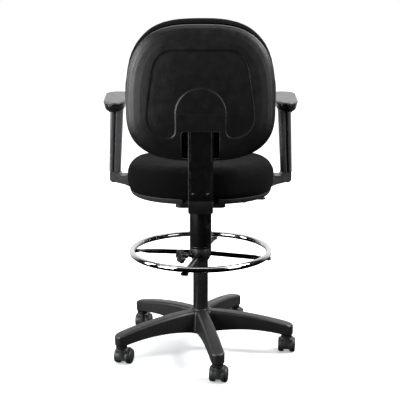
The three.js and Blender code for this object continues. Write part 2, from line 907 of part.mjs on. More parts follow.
function backBar() {
  const { width, thickness, eyeRadius, coverHalf, coverDepth, coverTop, coverBottom } = jbar;
  const { pivotY, pivotZ, pinRadius } = mechanism;
  const half = width / 2;
  const bar = strip(half, thickness, pivotY, jbar.top);
  const eye = rod("x", eyeRadius, -half, half).translate(0, pivotY, pivotZ);
  const eyeHole = rod("x", pinRadius + RUN, -half - THROUGH, half + THROUGH).translate(0, pivotY, pivotZ);
  const bore = strip(half + GAP, thickness + 2 * GAP, pivotY, jbar.top);
  const coverFront = barFoot.bendY - 8;
  const whole = strip(coverHalf, coverDepth, coverFront, coverTop);
  const above = block([-coverHalf - 1, coverHalf + 1], [0, 400], [coverBottom, 1000]);
  const below = block([-coverHalf - 1, coverHalf + 1], [0, 400], [0, coverBottom + GAP]);
  return [
    piece("j_bar", built(bar, { add: [eye], cut: [eyeHole] }), finishes.blackSteel()),
    piece("j_bar_cover", built(whole, { cut: [below, bore] }), finishes.shell()),
    piece("j_bend_cover", built(whole, { cut: [above, bore] }), finishes.nylon()),
  ];
}

// ---------------------------------------------------------------- arms
// An arm is made on the sitter's left, and its mirror image is the right one.
const fromSeat = (distance) => seat.halfWidth + distance;
const postX = fromSeat(arm.postX);
const sleeveBottomX = arm.sleeveBottomX.map(fromSeat);
const sleeveTopX = arm.sleeveTopX.map(fromSeat);

function armBracket() {
  const shellCorner = seat.halfWidth - seat.rimInset;
  const blockOuter = fromSeat(arm.blockOuter);
  const under = mechanism.top;
  const low = under - 11;
  const outline = [
    [arm.bracketInner, low],
    [shellCorner - 14, low],
    [shellCorner - 5, low + 9],
    [shellCorner + 4, arm.blockBottom - 14],
    [shellCorner + 20, arm.blockBottom - 7],
    [shellCorner + 48, arm.blockBottom],
    [blockOuter - 8, arm.blockBottom],
    [blockOuter, arm.blockBottom + 8],
    [blockOuter, arm.blockTop],
    [fromSeat(arm.blockInner), arm.blockTop],
    [fromSeat(arm.blockInner) - 3, arm.reachTop],
    [shellCorner + 15, arm.reachTop],
    [shellCorner + 12, arm.reachTop - 5],
    [shellCorner + 8, seat.rimTop + 12],
    [shellCorner + 3, seat.rimTop],
    [shellCorner - 8, under],
    [arm.bracketInner, under],
  ];
  const half = arm.bracketDepth / 2;
  const arch = prism(outline, -half, half).rotateX(Math.PI / 2).translate(0, arm.y, 0);
  const postSection = roundedBox([postX, arm.y], arm.postWidth, arm.postDepth, 3, 2);
  return built(arch, { add: [prism(postSection, arm.blockTop - 4, arm.postTop)] });
}

function armSleeve() {
  const { sleeveBottom, sleeveTop, sleeveDepth, boreTop } = arm;
  const section = ([x0, x1], z) =>
    ringAt(roundedBox([(x0 + x1) / 2, arm.y], x1 - x0, sleeveDepth, 9, 3), z);
  const body = loft([section(sleeveBottomX, sleeveBottom), section(sleeveTopX, sleeveTop)]);
  const boreSection = roundedBox(
    [postX, arm.y],
    arm.postWidth + 2 * SLIP,
    arm.postDepth + 2 * SLIP,
    3,
    2,
  );
  const bore = prism(boreSection, sleeveBottom - THROUGH, boreTop);
  const button = arm.buttonDepth + arm.buttonOut;
  const pocket = block(
    [sleeveTopX[1] - button, sleeveTopX[1] + 10],
    [arm.y - arm.buttonWidth / 2 - SLIP, arm.y + arm.buttonWidth / 2 + SLIP],
    [arm.buttonZ - arm.buttonHeight / 2 - SLIP, arm.buttonZ + arm.buttonHeight / 2 + SLIP],
  );
  return built(body, { cut: [bore, pocket] });
}

function armButton() {
  const face = sleeveTopX[1] + arm.buttonOut;
  const outline = roundedBox([arm.y, arm.buttonZ], arm.buttonWidth, arm.buttonHeight, 3, 2);
  return prism(outline, face - arm.buttonDepth, face).rotateY(Math.PI / 2).rotateX(Math.PI / 2);
}

// The outline of an arm pad, drawn in by `inset`: its rear end is the narrower and the rounder one.
function padOutline(inset, steps = 10) {
  const { padFront, padRear, padHalfFront, padHalfRear, padRoundFront, padRoundRear } = arm;
  const end = (half, round, centre, from) =>
    Array.from({ length: steps + 1 }, (_, k) => {
      const t = from + (Math.PI * k) / steps;
      return [(half - inset) * Math.cos(t), centre + (round - inset) * Math.sin(t)];
    });
  return [
    ...end(padHalfRear, padRoundRear, padRear - padRoundRear, 0),
    ...end(padHalfFront, padRoundFront, padFront + padRoundFront, Math.PI),
  ];
}

// The pad and the bowl that carries it.
function armTop() {
  const slope = new THREE.Matrix4()
    .makeTranslation(fromSeat(arm.padX), arm.y, arm.sleeveTop + 2)
    .multiply(new THREE.Matrix4().makeRotationX(radians(-arm.padSlope)));
  const ringOf = (inset, z) => ringAt(padOutline(inset), z);
  const { supportFoot, supportHeight, padHalfRear, padThickness } = arm;
  const foot = padHalfRear - supportFoot;
  const support = loft([
    ringOf(foot + 6, 0),
    ringOf(foot * 0.5, supportHeight * 0.16),
    ringOf(foot * 0.22, supportHeight * 0.42),
    ringOf(1.5, supportHeight),
  ]);
  const low = supportHeight + GAP;
  const pad = loft([
    ringOf(2, low),
    ringOf(0, low + 2),
    ringOf(0, low + padThickness - 4),
    ringOf(5, low + padThickness),
  ]);
  return { support: support.applyMatrix4(slope), pad: pad.applyMatrix4(slope) };
}

function armSet(side) {
  const { support, pad } = armTop();
  const made = group(
    piece(`arm_bracket_${side}`, armBracket(), finishes.nylon()),
    piece(`arm_sleeve_${side}`, armSleeve(), finishes.nylon()),
    piece(`arm_pad_support_${side}`, support, finishes.gloss()),
    piece(`arm_pad_${side}`, pad, finishes.pad()),
    piece(`arm_button_${side}`, armButton(), finishes.nylon()),
  );
  if (side === "right") made.scale.x = -1;
  return made;
}

// ---------------------------------------------------------------- the chair
const chair = group(
  fiveStarBase(),
  ...casters(),
  ...gasColumn(),
  ...telescopingCover(),
  ...footRing(),
  ...seatMechanism(),
  ...seatPieces(),
  ...backPieces(),
  ...backBar(),
  armSet("left"),
  armSet("right"),
);
chair.name = "drafting_chair";

export default chair;
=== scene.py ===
"""Looks of the drafting chair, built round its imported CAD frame.

+Z is up and the sitter faces -Y, so the backrest is on the +Y side and the sitter's left is +X.
Shapes are worked out in millimetres, and new_object() turns them into metres.
"""
import json
import math

import bmesh
import bpy
import numpy as np
from mathutils import Matrix, Vector


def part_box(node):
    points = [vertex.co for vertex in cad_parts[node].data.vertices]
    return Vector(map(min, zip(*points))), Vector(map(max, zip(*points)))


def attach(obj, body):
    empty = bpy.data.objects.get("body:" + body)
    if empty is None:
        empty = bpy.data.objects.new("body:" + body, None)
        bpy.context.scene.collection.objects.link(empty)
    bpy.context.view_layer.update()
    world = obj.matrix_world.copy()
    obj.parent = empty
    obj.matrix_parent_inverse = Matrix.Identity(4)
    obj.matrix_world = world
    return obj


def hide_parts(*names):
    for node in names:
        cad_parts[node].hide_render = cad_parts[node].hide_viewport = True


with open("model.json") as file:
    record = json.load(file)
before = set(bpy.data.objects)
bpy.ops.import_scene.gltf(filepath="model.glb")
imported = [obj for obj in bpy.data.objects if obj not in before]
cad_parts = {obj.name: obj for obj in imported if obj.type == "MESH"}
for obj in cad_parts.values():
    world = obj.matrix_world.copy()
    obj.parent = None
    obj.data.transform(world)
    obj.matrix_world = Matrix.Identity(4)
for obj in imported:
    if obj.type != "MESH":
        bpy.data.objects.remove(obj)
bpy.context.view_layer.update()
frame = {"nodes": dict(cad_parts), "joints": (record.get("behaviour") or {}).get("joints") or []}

MM = 0.001
TAU = 2 * math.pi
CASTERS = range(1, 6)
SIDES = (("left", 1), ("right", -1))
joints = {joint["name"]: joint for joint in frame["joints"]}
scene = bpy.context.scene


def low(node):
    return np.array(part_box(node)[0]) / MM


def high(node):
    return np.array(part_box(node)[1]) / MM


def middle(node):
    return (low(node) + high(node)) / 2


def span(node, axis=2):
    """Where the node's box starts and ends along one axis."""
    return low(node)[axis], high(node)[axis]


def place(joint):
    return np.array(joints[joint]["pos_m"]) / MM


# ---------------------------------------------------------------- mesh helpers
def new_object(name, points, faces):
    mesh = bpy.data.meshes.new(name)
    mesh.from_pydata((np.asarray(points, float) * MM).tolist(), [], faces)
    obj = bpy.data.objects.new(name, mesh)
    scene.collection.objects.link(obj)
    return obj


def coords(obj):
    flat = np.empty(len(obj.data.vertices) * 3)
    obj.data.vertices.foreach_get("co", flat)
    return flat.reshape(-1, 3) / MM


def set_coords(obj, points):
    obj.data.vertices.foreach_set("co", (np.asarray(points, float) * MM).ravel())
    obj.data.update()


def shift(x, y, z):
    return Matrix.Translation(Vector((x, y, z)) * MM)


def spin(degrees, axis="Z"):
    return Matrix.Rotation(math.radians(degrees), 4, axis)


def moved(obj, matrix):
    obj.data.transform(matrix)
    if matrix.determinant() < 0:
        obj.data.flip_normals()
    obj.data.update()
    return obj


def copied(obj, name):
    made = bpy.data.objects.new(name, obj.data.copy())
    scene.collection.objects.link(made)
    return made


def baked(obj):
    """Applies every modifier of obj to its mesh."""
    graph = bpy.context.evaluated_depsgraph_get()
    mesh = bpy.data.meshes.new_from_object(obj.evaluated_get(graph))
    obj.modifiers.clear()
    old = obj.data
    obj.data = mesh
    bpy.data.meshes.remove(old)
    return obj


def smooth(obj, angle=35):
    """Smooth shading, with edges sharper than angle left crisp."""
    obj.data.shade_smooth()
    obj.data.set_sharp_from_angle(angle=math.radians(angle))
    return obj


def joined(name, *objects):
    """One object that holds the meshes of all the objects."""
    mesh = bmesh.new()
    for obj in objects:
        mesh.from_mesh(obj.data)
        bpy.data.objects.remove(obj)
    data = bpy.data.meshes.new(name)
    mesh.to_mesh(data)
    mesh.free()
    made = bpy.data.objects.new(name, data)
    scene.collection.objects.link(made)
    return made


def cut(obj, *cutters, solver="EXACT"):
    """Takes the cutters away from obj."""
    for cutter in cutters:
        boolean = obj.modifiers.new("cut", "BOOLEAN")
        boolean.operation = "DIFFERENCE"
        boolean.solver = solver
        boolean.object = cutter
        baked(obj)
        bpy.data.objects.remove(cutter)
    return obj


def fused(obj, voxel, rounds=2):
    """Melts overlapping closed shells into one moulded body with softened corners."""
    remesh = obj.modifiers.new("remesh", "REMESH")
    remesh.mode = "VOXEL"
    remesh.voxel_size = voxel * MM
    soften = obj.modifiers.new("soften", "SMOOTH")
    soften.iterations = rounds
    baked(obj)
    obj.data.shade_smooth()
    return obj


def outward(obj):
    """Turns every face of a closed mesh outwards."""
    mesh = bmesh.new()
    mesh.from_mesh(obj.data)
    bmesh.ops.remove_doubles(mesh, verts=mesh.verts, dist=1e-7)
    bmesh.ops.recalc_face_normals(mesh, faces=mesh.faces)
    mesh.to_mesh(obj.data)
    mesh.free()
    return obj


def loft(name, rings, closed=False):
    """A skin over rings of equally many points; open ends are closed with fans."""
    rings = np.asarray(rings, float)
    count, sides = rings.shape[:2]
    points = rings.reshape(-1, 3)
    spans = count if closed else count - 1
    i, j = np.meshgrid(np.arange(spans), np.arange(sides), indexing="ij")
    here, there, after = i * sides, (i + 1) % count * sides, (j + 1) % sides
    faces = np.stack([here + j, here + after, there + after, there + j], -1).reshape(-1, 4).tolist()
    if not closed:
        hubs = len(points)
        points = np.vstack([points, rings[0].mean(0), rings[-1].mean(0)])
        last = (count - 1) * sides
        for k in range(sides):
            after = (k + 1) % sides
            faces.append((hubs, after, k))
            faces.append((hubs + 1, last + k, last + after))
    return outward(new_object(name, points, faces))


def lathe(name, profile, segments=64, closed=False):
    """A body of revolution about Z; an open profile of [radius, height] points ends on the axis."""
    angles = np.arange(segments) * TAU / segments
    circle = np.stack([np.cos(angles), np.sin(angles)], 1)
    return loft(name, [flat_ring(circle * r, z) for r, z in profile], closed)


def rod(name, radius, start, end, segments=48, edge=0.6):
    """A rod between two points, with eased ends."""
    start, end = Vector(start), Vector(end)
    length = (end - start).length
    edge = min(edge, radius / 2, length / 2)
    profile = [(radius - edge, 0), (radius, edge), (radius, length - edge), (radius - edge, length)]
    turn = Vector((0, 0, 1)).rotation_difference(end - start).to_matrix().to_4x4()
    return moved(lathe(name, profile, segments), shift(*start) @ turn)


def block(name, lowest, highest):
    x0, y0, z0 = lowest
    x1, y1, z1 = highest
    ring = [(x0, y0), (x1, y0), (x1, y1), (x0, y1)]
    return loft(name, [flat_ring(ring, z0), flat_ring(ring, z1)])


def flat_ring(outline, z):
    outline = np.asarray(outline, float)
    return np.column_stack([outline, np.full(len(outline), z)])


def halves(half, up, down, up_power, down_power, count=256):
    """A superellipse outline whose upper and lower halves have their own reach and power."""
    t = np.arange(count) * TAU / count
    sine = np.sin(t)
    power = np.where(sine >= 0, up_power, down_power)
    reach = np.where(sine >= 0, up, down)
    x = half * np.sign(np.cos(t)) * np.abs(np.cos(t)) ** (2 / power)
    return np.stack([x, reach * np.sign(sine) * np.abs(sine) ** (2 / power)], 1)


def round_rectangle(width, depth, radius, steps=6):
    """A rectangle with rounded corners round the origin, counter-clockwise."""
    outline = []
    for corner, (sx, sy) in enumerate(((1, 1), (-1, 1), (-1, -1), (1, -1))):
        for k in range(steps + 1):
            t = (corner + k / steps) * TAU / 4
            x = sx * (width / 2 - radius) + radius * math.cos(t)
            y = sy * (depth / 2 - radius) + radius * math.sin(t)
            outline.append((x, y))
    return np.array(outline)


def pad_outline(half, front, rear, trim, steps=28):
    """An arm pad's outline, drawn in by trim: wide in front, narrower and rounder at the rear."""
    t = np.linspace(0, math.pi, steps + 1)
    cap = lambda wide, long: np.stack([(wide - trim) * np.cos(t), (long - trim) * np.sin(t)], 1)
    return np.vstack([cap(0.84 * half, 60) + (0, rear - 60), -cap(half, 42) + (0, front + 42)])


def inset(outline, amount):
    """The outline moved in by amount, square to itself."""
    outline = np.asarray(outline, float)
    along = np.roll(outline, -1, 0) - np.roll(outline, 1, 0)
    along /= np.linalg.norm(along, axis=1, keepdims=True)
    return outline + amount * np.stack([-along[:, 1], along[:, 0]], 1)


def plate(name, outline, bottom, top, edge=1.0, steps=3):
    """A plate of a counter-clockwise [x, y] outline with rounded edges."""
    rings = []
    for k in range(steps + 1):
        t = TAU / 4 * k / steps
        rings.append(flat_ring(inset(outline, edge * (1 - math.sin(t))), bottom + edge * (1 - math.cos(t))))
    for k in range(steps, -1, -1):
        t = TAU / 4 * k / steps
        rings.append(flat_ring(inset(outline, edge * (1 - math.sin(t))), top - edge * (1 - math.cos(t))))
    return loft(name, rings)


def ease(value, start, end):
    """0 before start, 1 after end and smooth between."""
    t = np.clip((value - start) / (end - start), 0, 1)
    return t * t * (3 - 2 * t)


def wear(piece, body, slot, material, *nodes):
    """Gives a piece its finish and its body, and hides the CAD nodes that it stands for."""
    piece.data.materials.clear()
    piece.data.materials.append(material)
    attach(piece, body)
    if nodes:
        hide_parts(*nodes)
    return piece


def ease_edges(node, width, segments, angle):
    """Bevels the edges of a CAD piece that are sharper than angle, once its flat faces are merged."""
    part = frame["nodes"][node]
    thin = part.modifiers.new("flat", "DECIMATE")
    thin.decimate_type = "DISSOLVE"
    thin.angle_limit = math.radians(1)
    bevel = part.modifiers.new("bevel", "BEVEL")
    bevel.width = width * MM
    bevel.segments = segments
    bevel.limit_method = "ANGLE"
    bevel.angle_limit = math.radians(angle)


def finish_node(node, material):
    part = frame["nodes"][node]
    part.data.materials.clear()
    part.data.materials.append(material)


# ---------------------------------------------------------------- finishes
class Recipe:
    """A procedural material under construction."""

    def __init__(self, name, roughness, metallic=0.0, **constant):
        self.material = bpy.data.materials.new(name)
        self.material.use_nodes = True
        self.tree = self.material.node_tree
        self.tree.nodes.clear()
        self.skin = self.tree.nodes.new("ShaderNodeBsdfPrincipled")
        output = self.tree.nodes.new("ShaderNodeOutputMaterial")
        self.tree.links.new(self.skin.outputs[0], output.inputs["Surface"])
        self.coordinates = self.tree.nodes.new("ShaderNodeTexCoord")
        self.skin.inputs["Roughness"].default_value = roughness
        self.skin.inputs["Metallic"].default_value = metallic
        for socket, value in constant.items():
            self.skin.inputs[socket.replace("_", " ").title().replace("Ior", "IOR")].default_value = value

    def link(self, start, end):
        self.tree.links.new(start, end)

    def noise(self, scale, detail=3.0, stretch=(1, 1, 1), roughness=0.5):
        node = self.tree.nodes.new("ShaderNodeTexNoise")
        node.inputs["Scale"].default_value = scale
        node.inputs["Detail"].default_value = detail
        node.inputs["Roughness"].default_value = roughness
        mapping = self.tree.nodes.new("ShaderNodeMapping")
        mapping.inputs["Scale"].default_value = stretch
        self.link(self.coordinates.outputs["Object"], mapping.inputs["Vector"])
        self.link(mapping.outputs[0], node.inputs["Vector"])
        return node.outputs[0]

    def spread(self, source, low_in, high_in, low_out, high_out):
        node = self.tree.nodes.new("ShaderNodeMapRange")
        for socket, value in zip(node.inputs[1:5], (low_in, high_in, low_out, high_out)):
            socket.default_value = value
        self.link(source, node.inputs[0])
        return node.outputs[0]

    def math(self, operation, first, second=None):
        node = self.tree.nodes.new("ShaderNodeMath")
        node.operation = operation
        for socket, value in zip(node.inputs, (first, second)):
            if isinstance(value, (int, float)):
                socket.default_value = value
            elif value is not None:
                self.link(value, socket)
        return node.outputs[0]

    def blend(self, factor, first, second):
        node = self.tree.nodes.new("ShaderNodeMix")
        node.data_type = "RGBA"
        self.link(factor, node.inputs["Factor"])
        for socket, value in ((node.inputs[6], first), (node.inputs[7], second)):
            if isinstance(value, tuple):
                socket.default_value = (*value, 1)
            else:
                self.link(value, socket)
        return node.outputs[2]

    def pointed(self, start, end):
        """1 on convex edges and 0 on flats."""
        geometry = self.tree.nodes.new("ShaderNodeNewGeometry")
        return self.spread(geometry.outputs["Pointiness"], start, end, 0, 1)

    def color(self, source):
        self.link(source, self.skin.inputs["Base Color"])

    def roughness(self, source, least, most):
        self.link(self.spread(source, 0.3, 0.7, least, most), self.skin.inputs["Roughness"])

    def bump(self, height, depth, strength=1.0, below=None):
        node = self.tree.nodes.new("ShaderNodeBump")
        node.inputs["Distance"].default_value = depth * MM
        node.inputs["Strength"].default_value = strength
        self.link(height, node.inputs["Height"])
        if below is not None:
            self.link(below, node.inputs["Normal"])
        self.link(node.outputs[0], self.skin.inputs["Normal"])
        return node.outputs[0]


def moulded(name, color, roughness, grain=0.12, scale=900, mottle=0.12, rubbed=1.5, **constant):
    """A moulded plastic with a fine grain, cloudy colour and rubbed edges."""
    made = Recipe(name, roughness, **constant)
    clouds = made.noise(9, 4)
    darker = tuple(c * (1 - mottle) for c in color)
    lighter = tuple(c * (1 + mottle) for c in color)
    body = made.blend(made.spread(clouds, 0.35, 0.65, 0, 1), darker, lighter)
    worn = tuple(min(c * (rubbed + 0.15), 1) for c in color)
    edge = made.math("MULTIPLY", made.pointed(0.52, 0.6), made.spread(made.noise(60, 2), 0.4, 0.65, 0.2, 1))
    made.color(made.blend(edge, body, worn))
    made.roughness(made.noise(35, 3), roughness - 0.05, roughness + 0.06)
    pebbles = made.noise(scale, 2, roughness=0.65)
    made.bump(pebbles, grain)
    return made.material


def metal(name, color, roughness, drawn=(1, 1, 1), depth=0.01, metallic=1.0, **constant):
    """A metal with polishing marks and handling smears."""
    made = Recipe(name, roughness, metallic, **constant)
    smears = made.noise(14, 3)
    dull = tuple(c * 0.9 for c in color)
    made.color(made.blend(made.spread(smears, 0.35, 0.65, 0, 1), dull, color))
    made.roughness(made.noise(22, 4), max(roughness - 0.02, 0.02), roughness + 0.05)
    made.bump(made.noise(700, 2, drawn), depth, 0.4)
    return made.material


def woven(name, color, thread=0.9, **constant):
    """A plain-weave cloth. Its threads follow the two axes that lie flattest to the surface."""
    made = Recipe(name, 0.92, **constant)
    parts = made.tree.nodes.new("ShaderNodeSeparateXYZ")
    made.link(made.coordinates.outputs["Object"], parts.inputs[0])
    facing = made.tree.nodes.new("ShaderNodeSeparateXYZ")
    made.link(made.coordinates.outputs["Normal"], facing.inputs[0])
    rate = math.pi / (thread * MM)
    wave = [made.math("SINE", made.math("MULTIPLY", part, rate)) for part in parts.outputs]
    share = [made.math("POWER", made.math("ABSOLUTE", part), 2.0) for part in facing.outputs]
    weave = None
    for axis in range(3):
        first, second = (k for k in range(3) if k != axis)
        crossing = made.math("MULTIPLY", wave[first], wave[second])
        term = made.math("MULTIPLY", crossing, share[axis])
        weave = term if weave is None else made.math("ADD", weave, term)
    fuzz = made.noise(1400, 3)
    height = made.math("ADD", made.math("MULTIPLY", weave, 0.35), fuzz)
    dark = tuple(c * 0.55 for c in color)
    light = tuple(c * 1.6 for c in color)
    tone = made.blend(made.spread(height, 0.2, 0.9, 0, 1), dark, light)
    dusty = made.spread(made.noise(7, 3), 0.4, 0.7, 0, 0.35)
    made.color(made.blend(dusty, tone, light))
    made.bump(height, 0.35, 0.8, made.bump(made.noise(45, 3), 0.8, 0.35))
    return made.material


def plywood(name):
    """Beech veneer stained black, with growth lines along X."""
    made = Recipe(name, 0.62)
    grain = made.noise(26, 5, (1, 9, 9), 0.6)
    face = made.blend(made.spread(grain, 0.35, 0.65, 0, 1), (0.009, 0.008, 0.007), (0.019, 0.017, 0.015))
    pores = made.spread(made.noise(320, 2, (0.12, 1, 1)), 0.55, 0.75, 0, 0.6)
    made.color(made.blend(pores, face, (0.005, 0.0045, 0.004)))
    made.bump(grain, 0.15)
    return made.material


black_base = moulded("base_nylon", (0.013, 0.013, 0.0135), 0.42, grain=0.16, scale=600)
black_hood = moulded("caster_nylon", (0.03, 0.03, 0.031), 0.42, grain=0.06, scale=1300)
black_wheel = moulded("wheel_nylon", (0.02, 0.02, 0.021), 0.42, grain=0.05, scale=1200, rubbed=2.2)
black_cover = moulded(
    "cover_polypropylene", (0.003, 0.003, 0.0032), 0.3, grain=0.012, scale=900, specular_ior_level=0.35,
)
black_fitting = moulded("fitting_nylon", (0.013, 0.013, 0.0135), 0.38, grain=0.03, scale=1100)
# the arms' own copy of the fitting nylon, about four times lighter than the rest: painted light for the light
# that the arms catch
painted_light_arm = moulded("arm_nylon_painted_light", (0.055, 0.055, 0.057), 0.36, grain=0.06, scale=1000)
black_shell = moulded(
    "shell_polypropylene", (0.0055, 0.0055, 0.0058), 0.39, grain=0.25, scale=320, specular_ior_level=0.45,
)
# the seat tray's own copy of the shell plastic, several times lighter than the backrest's: painted light for
# the light that the tray catches
painted_light_tray = moulded("shell_polypropylene_painted_light", (0.03, 0.03, 0.031), 0.45, grain=0.3, scale=500)
gloss_black = moulded("gloss_polymer", (0.014, 0.014, 0.015), 0.1, grain=0.004, scale=300, mottle=0.05)
pad_skin = moulded("pad_polyurethane", (0.075, 0.075, 0.077), 0.42, grain=0.09, scale=800, mottle=0.08)
pale_bush = moulded("bush_acetal", (0.6, 0.59, 0.54), 0.4, grain=0.03, mottle=0.04, rubbed=1.1)
black_paint = moulded("powder_coat", (0.014, 0.014, 0.015), 0.26, grain=0.03, scale=700, coat_weight=0.3)
bright_chrome = metal("chrome_plate", (0.6, 0.605, 0.62), 0.06, depth=0.004)
dark_chrome = metal("dark_chrome", (0.07, 0.07, 0.072), 0.08, depth=0.004)
zinc_plate = metal("zinc_plate", (0.6, 0.6, 0.62), 0.3, (1, 1, 0.05), depth=0.02)
black_cloth = woven(
    "black_polyester", (0.003, 0.003, 0.0032), specular_ior_level=0.06, sheen_weight=0.008,
    sheen_roughness=0.5,
)
stained_ply = plywood("stained_plywood")


# ---------------------------------------------------------------- five-star base
def arm_section(foot, shoulder, panel, bottom, top, drop=5.0):
    """Half-widths at the foot, shoulder and flat top of an arm, as [across, up] points."""
    right = [
        (foot - 3, bottom), (foot - 0.8, bottom + 0.9), (foot, bottom + 3),
        (shoulder + 0.6, top - drop - 1), (shoulder, top - drop), (panel, top - 0.4), (panel * 0.5, top),
    ]
    return right + [(-x, z) for x, z in reversed(right)]


def base_arm(reach, foot_z, hub_z):
    """One arm along +X: a crowned beam that arches over and ends in a round tip."""
    tip = 21.0
    lip = foot_z + 13
    top_at = lambda r: hub_z - 1 - 35 * (r / reach) ** 2
    under_at = lambda r: lip + 13 * max(1 - ((r - 0.55 * reach) / (0.42 * reach)) ** 2, 0)
    stations = []
    for r in np.linspace(30, reach, 30):
        section = arm_section(22 - 1.2 * (r / reach), 19.5, 15, under_at(r), top_at(r))
        stations.append([(r, y, z) for y, z in section])
    for t in np.linspace(0.12, 1, 12) * TAU / 4:
        narrow = math.cos(t)
        top = top_at(reach) - 1.5 - 9 * (1 - math.cos(t)) ** 0.8
        section = arm_section(tip * narrow + 0.1, tip * narrow + 0.05, 15 * narrow, lip, top, 4.5)
        stations.append([(reach + tip * math.sin(t), y, z) for y, z in section])
    beam = loft("beam", stations)
    pockets = []
    edges = np.linspace(56, reach - 28, 7)
    for start, end in zip(edges[:-1], edges[1:]):
        for side in (1, -1):
            rings = []
            near, far = sorted((side * 2.0, side * 16.5))
            for r in np.linspace(start + 1.5, end - 1.5, 4):
                floor, roof = under_at(r) - 6, top_at(r) - 8
                rings.append([(r, near, floor), (r, far, floor), (r, far, roof), (r, near, roof)])
            pockets.append(loft("pocket", rings))
    cut(beam, joined("pockets", *pockets))
    socket = lathe("socket", [
        (0.01, foot_z), (16.6, foot_z), (18, foot_z + 1.4), (18, lip + 6), (0.01, lip + 6),
    ], 40)
    return joined("arm", beam, moved(socket, shift(reach, 0, 0)))


def melt_creases(star, keep):
    """Softens the creases where the arms run into the hub, but leaves the hub within keep as it is."""
    radius = np.hypot(*coords(star)[:, :2].T)
    near_hub = star.vertex_groups.new(name="hub")
    weight = 1 - ease(radius, 48, 82)
    for index in np.nonzero((weight > 0) & (radius > keep))[0]:
        near_hub.add([int(index)], float(weight[index]), "REPLACE")
    melt = star.modifiers.new("melt", "SMOOTH")
    melt.iterations = 24
    melt.vertex_group = "hub"
    baked(star)
    star.vertex_groups.clear()


def build_base():
    foot_z, hub_z = span("five_star_base")
    centre = place("caster_swivel_1")[:2]
    reach = np.linalg.norm(centre)
    first = math.degrees(math.atan2(centre[1], centre[0]))
    bore = high("column_tube")[0] + 1.2
    hub_low = foot_z + 12
    hub = lathe("hub", [
        (bore, hub_low), (43, hub_low), (44, hub_low + 2), (40, hub_z - 10), (37, hub_z - 3), (33.5, hub_z),
        (bore + 1.2, hub_z), (bore, hub_z - 1.2),
    ], 96, closed=True)
    arm = base_arm(reach, foot_z, hub_z)
    arms = [moved(copied(arm, "arm"), spin(first + 72 * i)) for i in range(5)]
    bpy.data.objects.remove(arm)
    star = fused(joined("base_star", hub, *arms), 1.5, 2)
    melt_creases(star, bore + 5)
    holes = []
    for i in CASTERS:
        x, y = place(f"caster_swivel_{i}")[:2]
        holes.append(rod("hole", 6.2, (x, y, foot_z - 3), (x, y, foot_z + 24)))
    cut(star, joined("holes", *holes))
    star.name = "base_star"
    wear(star, "base", "base_nylon", black_base, "five_star_base")
    star.data.shade_smooth()
    tube_r = high("column_tube")[0]
    collar = lathe("column_foot_ring", [
        (tube_r + 0.2, hub_z - 2), (tube_r + 3.4, hub_z - 2), (tube_r + 3.4, hub_z + 1),
        (tube_r + 2.4, hub_z + 3.2), (tube_r + 1.2, hub_z + 4.2), (tube_r + 0.2, hub_z + 4.4),
    ], 96, closed=True)
    wear(smooth(collar), "base", "base_nylon", black_fitting)


# ---------------------------------------------------------------- casters
def wheel_shape(radius, width, bore):
    """A wheel about Z with a crowned tread, a dished face and a hub, its outer face upwards."""
    profile = [
        (bore, 0), (radius - 4.5, 0), (radius - 4.2, 0.8), (radius - 2, 1.2), (radius - 0.7, 2.4),
        (radius - 0.1, 5), (radius, 9), (radius - 0.15, 13), (radius - 0.8, 16), (radius - 2.4, 18.2),
        (radius - 4.4, 19.2), (radius - 5.6, 19.2), (radius - 6.4, 18.4), (radius - 8, 18.0),
        (radius - 9, 18.6), (radius - 12, width - 0.6), (radius - 16, width - 0.1), (radius - 19, width),
        (bore, width),
    ]
    return smooth(lathe("wheel", profile, 96, closed=True), 28)


def hood_shape(hub, wheel_radius, width, top):
    """The hood over both wheels, in its own frame: the axle along X through hub = [forward, up]."""
    inner, outer = wheel_radius + 1.5, wheel_radius + 3.5
    start, end = math.radians(-18), math.radians(150)
    sweep = np.linspace(start, end, 44)
    rings = []
    near_edge = np.linspace(width / 2 - 3, width / 2, 6)
    for x in np.concatenate([-near_edge[::-1], near_edge]):
        edge = max(abs(x) - (width / 2 - 3), 0) / 3
        crest = outer - 1.6 * edge ** 2
        outside = [(crest * math.cos(t), crest * math.sin(t)) for t in sweep]
        inside = [(inner * math.cos(t), inner * math.sin(t)) for t in sweep[::-1]]
        rings.append([(x, hub[0] + y, hub[1] + z) for y, z in outside + inside])
    shroud = loft("shroud", rings)
    web = [(9 * math.cos(t), 9 * math.sin(t)) for t in np.linspace(math.radians(160), math.radians(330), 12)]
    arc = [((outer - 1) * math.cos(t), (outer - 1) * math.sin(t)) for t in sweep]
    outline = arc + web
    plates = []
    for x in (-7, -6.2, 6.2, 7):
        trim = 0.8 if abs(x) == 7 else 0
        flat = inset(outline, trim)
        plates.append([(x, hub[0] + y, hub[1] + z) for y, z in flat])
    boss = lathe("boss", [(0.01, hub[1] + 4), (10, hub[1] + 4), (10, top - 1.2), (9, top), (0.01, top)], 40)
    collar_outline = round_rectangle(width - 3, 24, 7)
    collar = plate("collar", collar_outline, hub[1] + outer - 12, top - 1.5, 1.5)
    moved(collar, shift(0, -6, 0))
    body = joined("hood", shroud, loft("web", plates), boss, collar)
    body = fused(body, 0.8, 2)
    clearance = [
        rod("space", inner - 0.2, (side * 8, *hub), (side * width, *hub), 96) for side in (1, -1)
    ]
    return cut(body, joined("spaces", *clearance))


